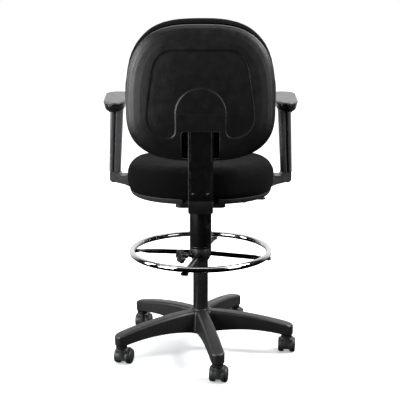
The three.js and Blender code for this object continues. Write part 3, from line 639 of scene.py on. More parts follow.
def build_casters():
    swivel = place("caster_swivel_1")
    axle = place("wheel_spin_left_1")
    trail = np.hypot(*(axle - swivel)[:2])
    radius = axle[2]
    top = low("five_star_base")[2] - 4
    hood = hood_shape((-trail, radius), radius, 41, top)
    wheel = wheel_shape(radius, 20, 4.2)
    cap = lathe("cap", [(0.01, 20.4), (4.6, 20.4), (5.4, 20.0), (5.6, 19.4), (0.01, 19.4)], 48)
    pin = rod("pin", 4, (-27, -trail, radius), (27, -trail, radius))
    stem_low, stem_high = span("caster_stem_1")
    for i in CASTERS:
        x, y = place(f"caster_swivel_{i}")[:2]
        back = (place(f"wheel_spin_left_{i}") - place(f"caster_swivel_{i}"))[:2]
        turn = math.degrees(math.atan2(back[0], -back[1]))
        stand = shift(x, y, 0) @ spin(turn)
        parts = [moved(copied(part, "part"), stand) for part in (hood, pin)]
        body = joined(f"caster_hood_shape_{i}", *parts)
        wear(smooth(body, 50), f"caster_{i}", "caster_plastic", black_hood, f"caster_hood_{i}")
        for side, sign in SIDES:
            pose = stand @ shift(sign * 9, -trail, radius) @ spin(90 * sign, "Y")
            parts = [moved(copied(part, "part"), pose) for part in (wheel, cap)]
            made = smooth(joined(f"wheel_{side}_{i}_shape", *parts), 28)
            wear(made, f"wheel_{side}_{i}", "caster_tread", black_wheel, f"caster_wheel_{side}_{i}")
        stem = lathe(f"stem_shape_{i}", [
            (0.01, stem_low), (5.5, stem_low), (5.5, top + 0.3), (8, top + 0.4), (8, top + 1.6),
            (7.6, top + 2), (5.5, top + 2.2), (5.5, stem_high - 4), (4.9, stem_high - 3.6),
            (4.9, stem_high - 2.4), (5.4, stem_high - 2), (4.2, stem_high), (0.01, stem_high),
        ], 48)
        moved(stem, shift(x, y, 0))
        wear(smooth(stem), "base", "zinc_steel", zinc_plate, f"caster_stem_{i}")
    for spare in (hood, wheel, cap, pin):
        bpy.data.objects.remove(spare)


# ---------------------------------------------------------------- column and its covers
def build_column():
    outer = high("column_tube")[0]
    bottom, top = span("column_tube")
    tube = lathe("column_tube_shape", [
        (4.2, bottom), (outer - 1.5, bottom), (outer - 1, bottom + 1), (outer, bottom + 12),
        (outer, top - 0.5), (outer - 0.5, top), (outer - 2.4, top), (outer - 2.5, top - 0.5),
        (outer - 2.5, bottom + 4), (4.2, bottom + 4),
    ], 128, closed=True)
    wear(smooth(tube), "base", "black_steel", black_paint, "column_tube")
    ram = high("gas_cylinder")[0]
    bottom, top = span("gas_cylinder")
    cylinder = lathe("gas_cylinder_shape", [
        (4.2, bottom), (ram - 1.2, bottom), (ram, bottom + 1.2), (ram, top - 28), (ram - 0.8, top - 0.6),
        (ram - 1.4, top), (0.01, top), (0.01, top - 10), (ram - 2, top - 10), (ram - 2, bottom + 10),
        (4.2, bottom + 10),
    ], 96, closed=True)
    wear(smooth(cylinder), "seat_frame", "black_steel", black_paint, "gas_cylinder")
    for name, body in (("cover_outer", "seat_frame"), ("cover_middle", "cover_middle")):
        radius = high(name)[0]
        bottom, top = span(name)
        sleeve = lathe(f"{name}_shape", [
            (radius - 1.6, bottom + 0.5), (radius - 1.2, bottom), (radius - 0.3, bottom),
            (radius, bottom + 0.5), (radius, bottom + 5), (radius - 0.25, bottom + 5.6),
            (radius - 0.25, bottom + 6.6), (radius, bottom + 7.2), (radius, top - 0.5), (radius - 0.4, top),
            (radius - 1.2, top), (radius - 1.6, top - 0.5),
        ], 128, closed=True)
        wear(smooth(sleeve), body, "cover_plastic", black_cover, name)
    radius, foot = high("cover_inner")[0], high("column_tube")[0] + 0.3
    bottom, top = span("cover_inner")
    inner = lathe("cover_inner_shape", [
        (foot, bottom), (radius - 0.4, bottom), (radius, bottom + 0.4), (radius, top - 0.4),
        (radius - 0.4, top), (radius - 1.2, top), (radius - 1.6, top - 0.4), (radius - 1.6, bottom + 3),
        (foot, bottom + 3),
    ], 128, closed=True)
    wear(smooth(inner), "base", "cover_plastic", black_cover, "cover_inner")


# ---------------------------------------------------------------- foot ring
def hoop(name, radius, tube, height, around=192, across=32):
    t = np.arange(across) * TAU / across
    rings = []
    for a in np.arange(around) * TAU / around:
        reach = radius + tube * np.cos(t)
        rings.append(np.stack([reach * math.cos(a), reach * math.sin(a), height + tube * np.sin(t)], 1))
    return loft(name, rings, closed=True)


def spoke_shape(start, reach, height, round_radius, tongue_z, tongue):
    """A round bar along +X whose end is pressed flat under the ring."""
    stations = np.array([start, *(reach + offset for offset in (-46, -40, -30, -24, -18, -6, 7, 9))])
    flatness = ease(stations, reach - 46, reach - 18)
    t = np.arange(32) * TAU / 32
    rings = []
    for r, flat in zip(stations, flatness):
        run = np.clip((r - start) / (reach - 42 - start), 0, 1)
        centre = height + (tongue_z - height) * run
        wide = round_radius + 3 * flat
        tall = round_radius + (tongue / 2 - round_radius) * flat
        square = 1 - 0.35 * flat
        y = wide * np.sign(np.cos(t)) * np.abs(np.cos(t)) ** square
        z = tall * np.sign(np.sin(t)) * np.abs(np.sin(t)) ** square
        if r == stations[-1]:
            y, z = y * 0.8, z * 0.8
        rings.append(np.stack([np.full(32, r), y, centre + z], 1))
    return smooth(loft("spoke", rings), 40)


def build_foot_ring():
    tube = (high("foot_ring")[2] - low("foot_ring")[2]) / 2
    radius = high("foot_ring")[0] - tube
    height = middle("foot_ring")[2]
    ring = hoop("foot_ring_shape", radius, tube, height)
    wear(smooth(ring), "foot_rest", "chrome", bright_chrome, "foot_ring")
    clamp_r, clamp_high = high("foot_ring_clamp")[1:]
    tongue_z = height - tube - 3.4
    spoke = spoke_shape(clamp_r - 2, radius, clamp_high - 19.5, 8, tongue_z, 6)
    plug = plate("plug", round_rectangle(24, 23, 6), tongue_z - 3.6 - 2.4, tongue_z - 3.1, 1.2)
    moved(plug, shift(radius - 3, 0, 0))
    screw = lathe("screw", [
        (0.01, 0), (2.2, 0.05), (2.4, 0.9), (2.6, 0.05), (4.4, -0.5), (5.0, -1.2), (5.0, -2.2), (0.01, -2.2),
    ][::-1], 40)
    moved(screw, shift(radius - 3, 0, tongue_z - 5.8) @ spin(180, "X"))
    for i in range(1, 5):
        ends = middle(f"foot_ring_spoke_{i}")
        angle = math.degrees(math.atan2(ends[1], ends[0]))
        made = moved(copied(spoke, f"foot_ring_spoke_shape_{i}"), spin(angle))
        wear(made, "foot_rest", "chrome", dark_chrome, f"foot_ring_spoke_{i}")
        end_cap = moved(copied(plug, f"spoke_end_cap_{i}"), spin(angle))
        wear(smooth(end_cap), "foot_rest", "fitting_nylon", black_fitting)
        fixing = moved(copied(screw, f"spoke_screw_{i}"), spin(angle))
        wear(smooth(fixing), "foot_rest", "chrome", zinc_plate)
    for spare in (spoke, plug, screw):
        bpy.data.objects.remove(spare)


def build_ring_clamp():
    """The collar that grips the column, with a lug for the knob's stud."""
    clamp_low, clamp_high = span("foot_ring_clamp")
    clamp_r = high("foot_ring_clamp")[1]
    bore = high("column_tube")[0] + 0.4
    clamp = lathe("foot_ring_clamp_shape", [
        (bore, clamp_low), (28, clamp_low), (29.2, clamp_low + 1), (33.6, clamp_low + 11),
        (clamp_r - 0.6, clamp_low + 14), (clamp_r, clamp_low + 18), (clamp_r, clamp_high - 2.4),
        (clamp_r - 0.7, clamp_high - 0.7), (clamp_r - 2.4, clamp_high), (bore + 1, clamp_high),
        (bore, clamp_high - 1),
    ], 128, closed=True)
    knob_axis = Vector(joints["clamp_knob_turn"]["axis"])
    middle_line = Vector((0, 0, place("clamp_knob_turn")[2]))
    lug_ends = (middle_line + knob_axis * distance for distance in (clamp_r - 6, clamp_r + 8))
    lug = rod("lug", 10, *lug_ends, 64, 1.2)
    clamp_body = joined("foot_ring_clamp_shape", clamp, lug)
    wear(smooth(clamp_body, 40), "foot_rest", "fitting_nylon", black_fitting, "foot_ring_clamp")


def build_clamp_knob():
    """A lobed knob with a neck and a stud, worked out along +Z and turned to its axis."""
    lobes, count = 7, 224
    t = np.arange(count) * TAU / count
    wave = 22 + 2 * np.cos(lobes * t)
    outline = np.stack([wave * np.cos(t), wave * np.sin(t)], 1)
    rings = [flat_ring(outline * 0.82, 0)]
    grip_profile = (0.93, 0.4), (0.985, 1.6), (1, 3.2), (1, 10.5), (0.985, 12.4), (0.94, 13.8), (0.86, 14.7)
    for share, z in grip_profile:
        rings.append(flat_ring(outline * share, z))
    for share, z in ((0.6, 15.0), (0.55, 14.4), (0.52, 13.9), (0.3, 13.9)):
        rings.append(flat_ring(outline / wave[:, None] * 22 * share, z))
    grip = loft("grip", rings)
    neck = rod("neck", 10, (0, 0, -17), (0, 0, 1), 64)
    stud = rod("stud", 5, (0, 0, -42), (0, 0, -16))
    knob = joined("clamp_knob_shape", grip, neck, stud)
    knob_axis = Vector(joints["clamp_knob_turn"]["axis"])
    turn = Vector((0, 0, 1)).rotation_difference(knob_axis).to_matrix().to_4x4()
    moved(knob, shift(*place("clamp_knob_turn")) @ turn)
    wear(smooth(knob, 30), "clamp_knob", "fitting_nylon", black_fitting, "clamp_knob")


# ---------------------------------------------------------------- seat mechanism
def build_lever(node, body, label):
    box_low, box_high = low(node), high(node)
    y, z = middle(node)[1:]
    half = (box_high[1] - box_low[1]) / 2
    pivot = place({"lift_lever": "lift_lever_pull", "back_lock_lever": "back_lock_turn"}[node])
    shank = rod("shank", 4, (box_low[0] + 24, y, z), (pivot[0], y, z), 32)
    cross = rod("cross", 5, (pivot[0], y - 9, z), (pivot[0], y + 9, z), 32)
    paddle = plate("paddle", round_rectangle(44, 2 * half, half - 1), z - 3, z + 3, 1.8, 5)
    moved(paddle, shift(box_low[0] + 22, y, 0))
    long = half - 5
    grooves = [
        rod("groove", 0.9, (box_low[0] + x, y - long, z + 3.2), (box_low[0] + x, y + long, z + 3.2), 16)
        for x in (10, 14, 18, 22)
    ]
    cut(paddle, joined("grooves", *grooves))
    sleeve = rod("sleeve", 5.6, (box_low[0] + 38, y, z), (box_low[0] + 56, y, z), 40, 1.4)
    lever = joined(label, shank, cross, smooth(paddle), sleeve)
    wear(smooth(lever, 40), body, "fitting_nylon", black_fitting, node)


def build_mechanism():
    build_lever("lift_lever", "lift_lever", "lift_lever_shape")
    build_lever("back_lock_lever", "back_lock_lever", "back_lock_lever_shape")
    for node, width, finish in (
        ("mechanism_housing", 1.6, black_paint), ("j_bar", 0.8, black_paint),
        ("back_height_bracket", 1.0, black_fitting), ("seat_board", 0.8, stained_ply),
        ("back_board", 0.8, stained_ply),
    ):
        ease_edges(node, width, 2, 35)
        finish_node(node, finish)
    for node in ("column_bush", "piston_rod", "thrust_bearing", "back_pivot_pin"):
        finish_node(node, pale_bush if node == "column_bush" else zinc_plate)
    bottom = low("mechanism_housing")[2]
    for k, (x, y) in enumerate(((62, -78), (-62, -78), (62, 56), (-62, 56)), 1):
        head = lathe(f"housing_bolt_{k}", [
            (0.01, 0), (3.0, 0), (3.0, -3.2), (3.6, -3.2), (6.2, -2.8), (6.8, -1.6), (6.8, 0.2), (0.01, 0.2),
        ], 40)
        moved(head, shift(x, y, bottom))
        wear(smooth(head), "seat_frame", "zinc_steel", zinc_plate)


# ---------------------------------------------------------------- soft pieces
def puffed(pad, cell, pressure, cap, held, most):
    """Swells a closed pad by cloth simulation; no point moves further than cap or out of the box most."""
    remesh = pad.modifiers.new("remesh", "REMESH")
    remesh.mode = "VOXEL"
    remesh.voxel_size = cell * MM
    baked(pad)
    start = coords(pad)
    pinned = pad.vertex_groups.new(name="held")
    pinned.add(np.nonzero(held(start))[0].tolist(), 1.0, "REPLACE")
    cloth = pad.modifiers.new("cloth", "CLOTH")
    cloth.settings.quality = 5
    cloth.settings.mass = 0.4
    cloth.settings.tension_stiffness = 12
    cloth.settings.compression_stiffness = 12
    cloth.settings.shear_stiffness = 8
    cloth.settings.bending_stiffness = 2.5
    cloth.settings.use_pressure = True
    cloth.settings.uniform_pressure_force = pressure
    cloth.settings.vertex_group_mass = "held"
    cloth.settings.effector_weights.gravity = 0
    cloth.collision_settings.use_collision = False
    last_frame = 20
    cloth.point_cache.frame_start, cloth.point_cache.frame_end = 1, last_frame
    for step in range(1, last_frame + 1):
        scene.frame_set(step)
    baked(pad)
    pad.vertex_groups.clear()
    scene.frame_set(1)
    move = coords(pad) - start
    length = np.linalg.norm(move, axis=1, keepdims=True)
    move *= np.where(length > cap, cap / np.maximum(length, 1e-9), 1)
    set_coords(pad, np.clip(start + move, *most))
    soften = pad.modifiers.new("soften", "SMOOTH")
    soften.iterations = 12
    finer = pad.modifiers.new("finer", "SUBSURF")
    finer.levels = finer.render_levels = 1
    baked(pad)
    pad.data.shade_smooth()
    return pad


def fitted(points, node, spare):
    """The points stretched so that they fill the node's box, less a little."""
    least, most = points.min(0), points.max(0)
    start, end = low(node) + spare, high(node) - spare
    return start + (points - least) / (most - least) * (end - start)


def ripples(points, seed, size, height):
    """A gentle unevenness for fabric over foam: the same on every run."""
    chance = np.random.default_rng(seed)
    total = np.zeros(len(points))
    for _ in range(14):
        direction = chance.normal(size=3)
        direction /= np.linalg.norm(direction)
        total += np.sin(points @ direction * TAU / (size * chance.uniform(0.6, 1.6)) + chance.uniform(0, TAU))
    return total / 14 * height


def vertex_normals(obj):
    flat = np.empty(len(obj.data.vertices) * 3)
    obj.data.vertices.foreach_get("normal", flat)
    return flat.reshape(-1, 3)


# ---------------------------------------------------------------- seat
SEAT_MIDDLE = -30.0


def seat_outline(trim, count=256):
    """The cushion's outline in plan, drawn in by trim: squarer at the front than at the rear."""
    front, rear = span("seat_cushion", 1)
    half = high("seat_cushion")[0]
    outline = halves(half - trim, rear - SEAT_MIDDLE - trim, SEAT_MIDDLE - front - trim, 2.25, 3, count)
    return outline + (0, SEAT_MIDDLE)


def build_seat():
    base_z, rim, top = low("seat_cushion")[2], high("seat_shell")[2], high("seat_cushion")[2]
    widest = (rim + top) / 2 - 4
    draw = 5.0
    profile = [
        (base_z, 14), (rim - 0.5, 12), (rim + 1.5, 9), (rim + 8, 4.5), (rim + 16, 1.5), (widest - 8, 0.2),
        (widest, 0), (widest + 10, 0.6), (top - 26, 2.5), (top - 19, 5), (top - 13, 9), (top - 8, 15),
        (top - 4, 25), (top - 1.5, 42), (top - 0.5, 75), (top, 120), (top, 160), (top, 195),
    ]
    rings = [flat_ring(seat_outline(trim + draw, 160), min(z, top - draw)) for z, trim in profile]
    pad = loft("seat_cushion_soft", rings)
    most = (low("seat_cushion") + 0.4, high("seat_cushion") + (0, 0, 2))
    held = lambda points: points[:, 2] < rim + 1
    puffed(pad, 6, 1.5, 5, held, most)
    points = coords(pad)
    x, y, z = points.T
    upward = ease(z, widest, top - 4)
    reach = np.hypot(x / 190, (y + 30) / 185)
    dish = 7.0 * upward * (1 - ease(reach, 0.1, 0.95))
    waterfall = 9.0 * upward * ease(-y, 165, 262)
    thigh = 2.5 * upward * np.exp(-((np.abs(x) - 95) / 60) ** 2) * ease(-y, 0, 150)
    points[:, 2] = z - dish - waterfall - thigh
    set_coords(pad, points)
    normal = vertex_normals(pad)
    points = coords(pad)
    soft = ease(points[:, 2], rim, rim + 12)
    points += normal * (ripples(points, 3, 110, 1.6) * soft)[:, None]
    # the hem is pulled under the rim, so the cloth draws in there in small tucks
    around = np.arctan2(points[:, 1] + 30, points[:, 0])
    tucks = np.sin(around * 46 + 1.3 * np.sin(around * 9)) * (1 - ease(points[:, 2], rim + 2, rim + 20))
    points += normal * (tucks * 0.35 * ease(points[:, 2], rim - 1, rim + 3))[:, None]
    set_coords(pad, fitted(points, "seat_cushion", 0.4))
    pad.name = "seat_cushion_soft"
    wear(pad, "seat_frame", "upholstery", black_cloth, "seat_cushion")
    build_seat_shell()


def build_seat_shell():
    bottom, top = span("seat_shell")
    ring = lambda trim, z: flat_ring(seat_outline(trim, 320), z)
    steps = [
        (30, bottom + 0.6), (24, bottom), (21, bottom + 0.5), (18.4, bottom + 1.8), (15.4, bottom + 4),
        (12.6, bottom + 7.4), (10.6, bottom + 11), (9, bottom + 15), (8.2, top - 1), (8.3, top - 0.3),
        (8.9, top), (9.8, top), (10.4, top - 0.4), (10.6, top - 1.4), (11.4, bottom + 15),
        (13, bottom + 11), (15, bottom + 7.8), (17.6, bottom + 5.2), (20.4, bottom + 3.3),
        (23, bottom + 2.5), (200, bottom + 2.5), (200, bottom + 0.6),
    ]
    tray = loft("tray", [ring(trim, z) for trim, z in steps], closed=True)
    rear = high("seat_cushion")[1]
    notch = plate("notch", round_rectangle(112, 90, 6) + (0, rear), bottom - 4, top + 4, 0.1)
    cut(tray, notch)
    # stiffening ribs under the tray, fore and aft
    ribs = []
    for x in (-150, -110, 110, 150):
        ribs.append(plate("rib", round_rectangle(2.4, 250, 1) + (x, -40), bottom - 5, bottom + 1.4, 0.4))
    shell = joined("seat_shell_shape", tray, *ribs)
    wear(smooth(shell, 40), "seat_frame", "shell_plastic", painted_light_tray, "seat_shell")


# ---------------------------------------------------------------- back
lean = math.atan2(joints["back_height"]["axis"][1], joints["back_height"]["axis"][2])
up_way = np.array([0, math.sin(lean), math.cos(lean)])
rear_way = np.array([0, math.cos(lean), -math.sin(lean)])
back_middle = np.array([0, 222.0, 835.0])
SHELL_HALF, SHELL_UP, SHELL_DOWN = 220.0, 250.0, 151.0
UPPER_POWER, LOWER_POWER = 3.0, 2.7
ARCH_RADIUS, ARCH_AXIS = 74.0, -4.0
NOTCH_HALF, NOTCH_TOP = 56.0, -59.0
CROWN = ((0, 4), (0.6, 6), (2, 8), (5, 10), (9, 13), (14, 15.5), (24, 19.2), (42, 23.8), (60, 27), (82, 30.1),
         (110, 32.8), (140, 34.6), (175, 35), (230, 35))


def on_back(points):
    """Points given as [across, up, rearwards] in the back's own leaning frame."""
    points = np.asarray(points, float)
    across = points[:, :1] * (1, 0, 0)
    return back_middle + across + points[:, 1:2] * up_way + points[:, 2:3] * rear_way


def back_inset(x, z):
    """How far each point lies inside the shell's outline, by halving the range."""
    power = np.where(z >= 0, UPPER_POWER, LOWER_POWER)
    least, most = np.full(x.shape, -30.0), np.full(x.shape, 150.9)
    for _ in range(30):
        mid = (least + most) / 2
        reach = np.where(z >= 0, SHELL_UP, SHELL_DOWN) - mid
        inside = (np.abs(x) / (SHELL_HALF - mid)) ** power + (np.abs(z) / reach) ** power < 1
        least, most = np.where(inside, mid, least), np.where(inside, most, mid)
    return (least + most) / 2


def from_round_box(x, z, centre_x, centre_z, half_x, half_z, radius):
    """Distance outside a rounded rectangle; negative inside."""
    dx = np.abs(x - centre_x) - half_x + radius
    dz = np.abs(z - centre_z) - half_z + radius
    return np.hypot(np.maximum(dx, 0), np.maximum(dz, 0)) + np.minimum(np.maximum(dx, dz), 0) - radius


def smooth_least(a, b, soft):
    h = np.clip(0.5 + 0.5 * (b - a) / soft, 0, 1)
    return b + (a - b) * h - soft * h * (1 - h)


def panel_distance(x, z):
    """Distance outside the sunk panel of the shell, which passes over an arch and down both its sides."""
    taper = 1 + 0.16 * ease(z, -20, 175)
    outer = from_round_box(x * taper, z, 0, 50, 158, 128, 62)
    straight = np.maximum(np.abs(x) - ARCH_RADIUS, z - ARCH_AXIS)
    arch = np.where(z > ARCH_AXIS, np.hypot(x, z - ARCH_AXIS) - ARCH_RADIUS, straight)
    return -smooth_least(-outer, arch, 26.0)


def shell_height(x, z):
    """Height of the shell's outside behind the back's plane."""
    reach, rise = np.array(CROWN, float).T
    height = np.interp(back_inset(x, z), reach, rise)
    distance = panel_distance(x, z)
    sunk = 1 - ease(distance, -1.6, 1.6)
    return height - 2.2 * sunk


def notch_lip():
    """The returned edge that stands along both sides and the top of the notch."""
    half, top, thick = NOTCH_HALF, NOTCH_TOP, 2.6
    path = [(-half, -143)] + [(-half, z) for z in np.linspace(-136, top - 7, 14)]
    path += [(-half + 7 - 7 * math.cos(t), top - 7 + 7 * math.sin(t)) for t in np.linspace(0, TAU / 4, 7)[1:]]
    path += [(-p[0], p[1]) for p in path[::-1]]
    path = np.array(path)
    ahead = np.gradient(path, axis=0)
    ahead /= np.linalg.norm(ahead, axis=1, keepdims=True)
    away = np.stack([-ahead[:, 1], ahead[:, 0]], 1)
    lips = []
    for spot, out in zip(path, away):
        level = float(shell_height(*[np.array([v]) for v in spot + out * 2])[0])
        section = [
            (-0.2, -6), (-0.2, level - 0.2), (0.3, level + 0.35), (1.5, level + 0.5), (thick, level - 0.3),
            (thick, -6),
        ]
        lips.append(on_back([(*(spot + out * push), rise) for push, rise in section]))
    return loft("lip", lips)


def build_back_shell():
    rings, around = 190, 768
    outline = halves(SHELL_HALF, SHELL_UP, SHELL_DOWN, UPPER_POWER, LOWER_POWER, around)
    centre = np.array([0, 40.0])
    near_rim = 0.9 + 0.1 * np.sin(np.linspace(0, 1, 51)[1:] * TAU / 4)
    share = np.concatenate([np.linspace(0, 0.9, rings - 50), near_rim])
    grid = centre + share[:, None, None] * (outline - centre)
    x, z = grid[..., 0], grid[..., 1]
    height = shell_height(x, z)
    for _ in range(2):
        height[1:-1] = (height[:-2] + 2 * height[1:-1] + height[2:]) / 4
    outside = np.stack([x, z, height], -1)
    wall = 3.0
    side = [flat_ring(outline, depth) for depth in (2, 0, -4, -8.6)]
    lip = [flat_ring(inset(outline, trim), -9.6) for trim in (0.5, 2.4)]
    inner_side = [flat_ring(inset(outline, wall), depth) for depth in (-8.6, 0, 2)]
    within = centre + np.linspace(1, 0, 60)[:, None, None] * (inset(outline, wall) - centre)
    reach, rise = np.array(CROWN, float).T
    depth = np.interp(back_inset(within[..., 0], within[..., 1]), reach, rise) - wall - 2.4
    inside = np.stack([within[..., 0], within[..., 1], depth], -1)
    flat = np.array([*outside[1:], *side, *lip, *inner_side, *inside[1:-1]])
    shape = loft("back_shell_shape", on_back(flat.reshape(-1, 3)).reshape(flat.shape))
    notch_outline = round_rectangle(2 * NOTCH_HALF, 180, 7) + (0, NOTCH_TOP - 90)
    notch_rings = [on_back(flat_ring(notch_outline, depth)) for depth in (-16, 60)]
    cut(shape, loft("notch", notch_rings))
    shape = joined("back_shell_shape", shape, notch_lip())
    wear(smooth(shape, 42), "backrest", "shell_plastic", black_shell, "back_shell")


def build_back_cushion():
    front, rear = -74.3, -12.3
    half, up, down = 224.0, 266.0, SHELL_DOWN
    profile = [
        (rear, 14), (rear - 3, 7), (rear - 8, 3), (rear - 14, 1), (rear - 24, 0), (front + 34, 1),
        (front + 22, 4.5), (front + 14, 10), (front + 8, 19), (front + 4, 31), (front + 1.5, 48),
        (front + 0.4, 75), (front, 105), (front, 130), (front, 146),
    ]
    draw = 5.0
    rings = []
    for depth, trim in profile:
        trim = trim + draw
        outline = halves(half - trim, up - trim, down - trim, UPPER_POWER, LOWER_POWER, 176)
        rings.append(on_back(flat_ring(outline, max(depth, front + draw))))
    pad = loft("back_cushion_soft", rings)
    most = (low("back_cushion") + 0.3, high("back_cushion") - 0.3)
    own = lambda points: (points - back_middle) @ np.stack([(1, 0, 0), up_way, rear_way], 1)
    held = lambda points: own(points)[:, 2] > rear - 3
    puffed(pad, 6, 2.0, 6, held, most)
    points = coords(pad)
    across, along, depth = own(points).T
    facing = 1 - ease(depth, front + 4, front + 40)
    lumbar = 6.0 * np.exp(-((along + 62) / 62) ** 2) * (1 - ease(np.abs(across), 60, 200))
    wings = 5.0 * ease(np.abs(across), 70, 190) * (1 - ease(np.abs(along - 60), 120, 210))
    sink = facing * (7 - lumbar - wings)
    points += rear_way * sink[:, None]
    set_coords(pad, points)
    normal = vertex_normals(pad)
    points = coords(pad) + normal * ripples(coords(pad), 8, 105, 1.4)[:, None]
    set_coords(pad, fitted(points, "back_cushion", 0.4))
    pad.name = "back_cushion_soft"
    wear(pad, "backrest", "upholstery", black_cloth, "back_cushion")
    # the cloth's welt lies in the joint between the cushion and the shell
    ring = halves(half - 4.5, up - 12, down + 0.5, UPPER_POWER, LOWER_POWER, 384)
    welt = []
    for k, (x, z) in enumerate(ring):
        ahead = ring[(k + 1) % len(ring)] - ring[k - 1]
        out = np.array([ahead[1], -ahead[0]]) / np.linalg.norm(ahead)
        t = np.arange(10) * TAU / 10
        push = 2.2 * np.cos(t)
        welt.append(on_back(np.stack([x + out[0] * push, z + out[1] * push, -11.6 + 2.2 * np.sin(t)], 1)))
    piping = loft("back_cushion_welt", welt, closed=True)
    wear(smooth(piping), "backrest", "upholstery", black_cloth)


# ---------------------------------------------------------------- back support
def bar_path():
    """The line of the J-bar in [Y, Z], from the pivot round the bend and up the back."""
    pivot = place("back_tilt")
    bend, offset = 32.0, 13.0
    upright = np.array([up_way[1], up_way[2]])
    rise = TAU / 4 - lean
    foot_z = pivot[2] + bend * (1 - math.cos(rise))
    along = (foot_z - back_middle[2]) / upright[1]
    foot = np.array([back_middle[1] + offset * math.cos(lean) + upright[0] * along, foot_z])
    centre = np.array([foot[0] - bend * math.sin(rise), pivot[2] + bend])
    return centre, foot, upright, rise, bend, along


def cover_strip(name, half, thickness, lower, upper, corner=4.0):
    """A rounded cover along the bar, from the height lower to the distance upper along the back."""
    centre, foot, upright, rise, bend, along = bar_path()
    stops = []
    for t in np.linspace(0, rise, 40):
        spot = centre + bend * np.array([math.sin(t), -math.cos(t)])
        stops.append((spot, np.array([math.cos(t), math.sin(t)])))
    start = np.array([centre[0] - 8, centre[1] - bend])
    stops = [(start + (k, 0), np.array([1.0, 0])) for k in np.linspace(0, 7.5, 5)] + stops
    length = upper - along
    stops += [(foot + upright * d, upright) for d in np.linspace(2, length, 60)]
    kept = [stop for stop in stops if stop[0][1] > lower]
    if lower > centre[1] - bend + 1:
        first = kept[0]
        gap = (first[0][1] - lower) / first[1][1]
        kept[0] = (first[0] - first[1] * gap, first[1])
    section = round_rectangle(2 * half, thickness, corner, 5)
    rings = []
    last = len(kept) - 1
    for k, (spot, ahead) in enumerate(kept):
        normal = np.array([ahead[1], -ahead[0]])
        shape = section if 0 < k < last else inset(section, 0.8)
        rings.append([(x, *(spot + normal * d)) for x, d in shape])
    return loft(name, rings), kept


def build_back_support():
    split = low("j_bar_cover")[2]
    half = high("j_bar_cover")[0]
    upper, kept = cover_strip("upper", half, 24, split + 0.3, -42)
    # shallow flutes run down both edges of the cover
    for side in (1, -1):
        rings = []
        circle = [(1.1 * math.cos(t), 1.1 * math.sin(t)) for t in np.arange(12) * TAU / 12]
        for spot, ahead in kept[3:-3]:
            normal = np.array([ahead[1], -ahead[0]])
            rings.append([(side * (half - 7) + x, *(spot + normal * (12.4 + d))) for x, d in circle])
        cut(upper, loft("flute", rings))
    upper.name = "j_bar_cover_shape"
    wear(smooth(upper, 30), "back_bar", "cover_plastic", black_cover, "j_bar_cover")
    lower, _ = cover_strip("j_bend_cover_shape", half, 24, 0, back_along(split - 0.6))
    wear(smooth(lower, 30), "back_bar", "fitting_nylon", black_fitting, "j_bend_cover")
    for k, (x, z) in enumerate(((-22, split + 22), (22, split + 22)), 1):
        _, foot, upright, *_ = bar_path()
        spot = foot + upright * (z - foot[1]) / upright[1] + np.array([upright[1], -upright[0]]) * 12
        head = lathe(f"cover_screw_{k}", [
            (0.01, 0.2), (1.6, 0.2), (1.9, 1.0), (2.1, 0.9), (3.4, 0.5), (3.9, 0), (3.9, -1), (0.01, -1),
        ][::-1], 32)
        moved(head, shift(x, *spot) @ spin(-90 - math.degrees(lean), "X"))
        wear(smooth(head), "back_bar", "zinc_steel", black_paint)


def back_along(z):
    """Length up the back, from its middle, of a height on the bar."""
    _, foot, upright, _, _, along = bar_path()
    return along + (z - foot[1]) / upright[1]


# ---------------------------------------------------------------- arms
SLEEVE_FOOT_INNER, SLEEVE_TOP_OUTER = 267.0, 295.0
RIB_SHARE, CHANNEL_SHARE = 0.31, 0.17


def sleeve_section(inner, outer, depth):
    """The upright's section in [x, y]: a rib at the outer edge, a channel, and a rounded inner part."""
    width = outer - inner
    edge = outer - RIB_SHARE * width
    bank = edge - CHANNEL_SHARE * width
    face = depth / 2
    rear = [
        (outer, face - 8.0), (outer - 0.5, face - 4.0), (outer - 2.2, face - 1.4), (outer - 4.0, face - 0.3),
        (edge + 1.4, face), (edge + 0.4, face - 0.4), (edge, face - 1.4), (edge - 0.3, face - 3.6),
        (edge - 1.2, face - 4.4), (bank + 1.2, face - 4.4), (bank, face - 3.4), (bank - 0.4, face - 1.6),
        (bank - 1.6, face - 0.9), (inner + 8, face - 1.6), (inner + 3.6, face - 4.0),
        (inner + 1.0, face - 8.5), (inner, face - 15),
    ]
    front = [(x, -y) for x, y in rear[::-1]]
    return rear + front


def sleeve_edges(z):
    """The inner and outer edges of the left upright at a height; both lean in towards the top."""
    least, most = low("arm_sleeve_left"), high("arm_sleeve_left")
    share = (z - least[2]) / (most[2] - least[2])
    inner = SLEEVE_FOOT_INNER + (least[0] - SLEEVE_FOOT_INNER) * share
    outer = most[0] + (SLEEVE_TOP_OUTER - most[0]) * share
    return inner, outer


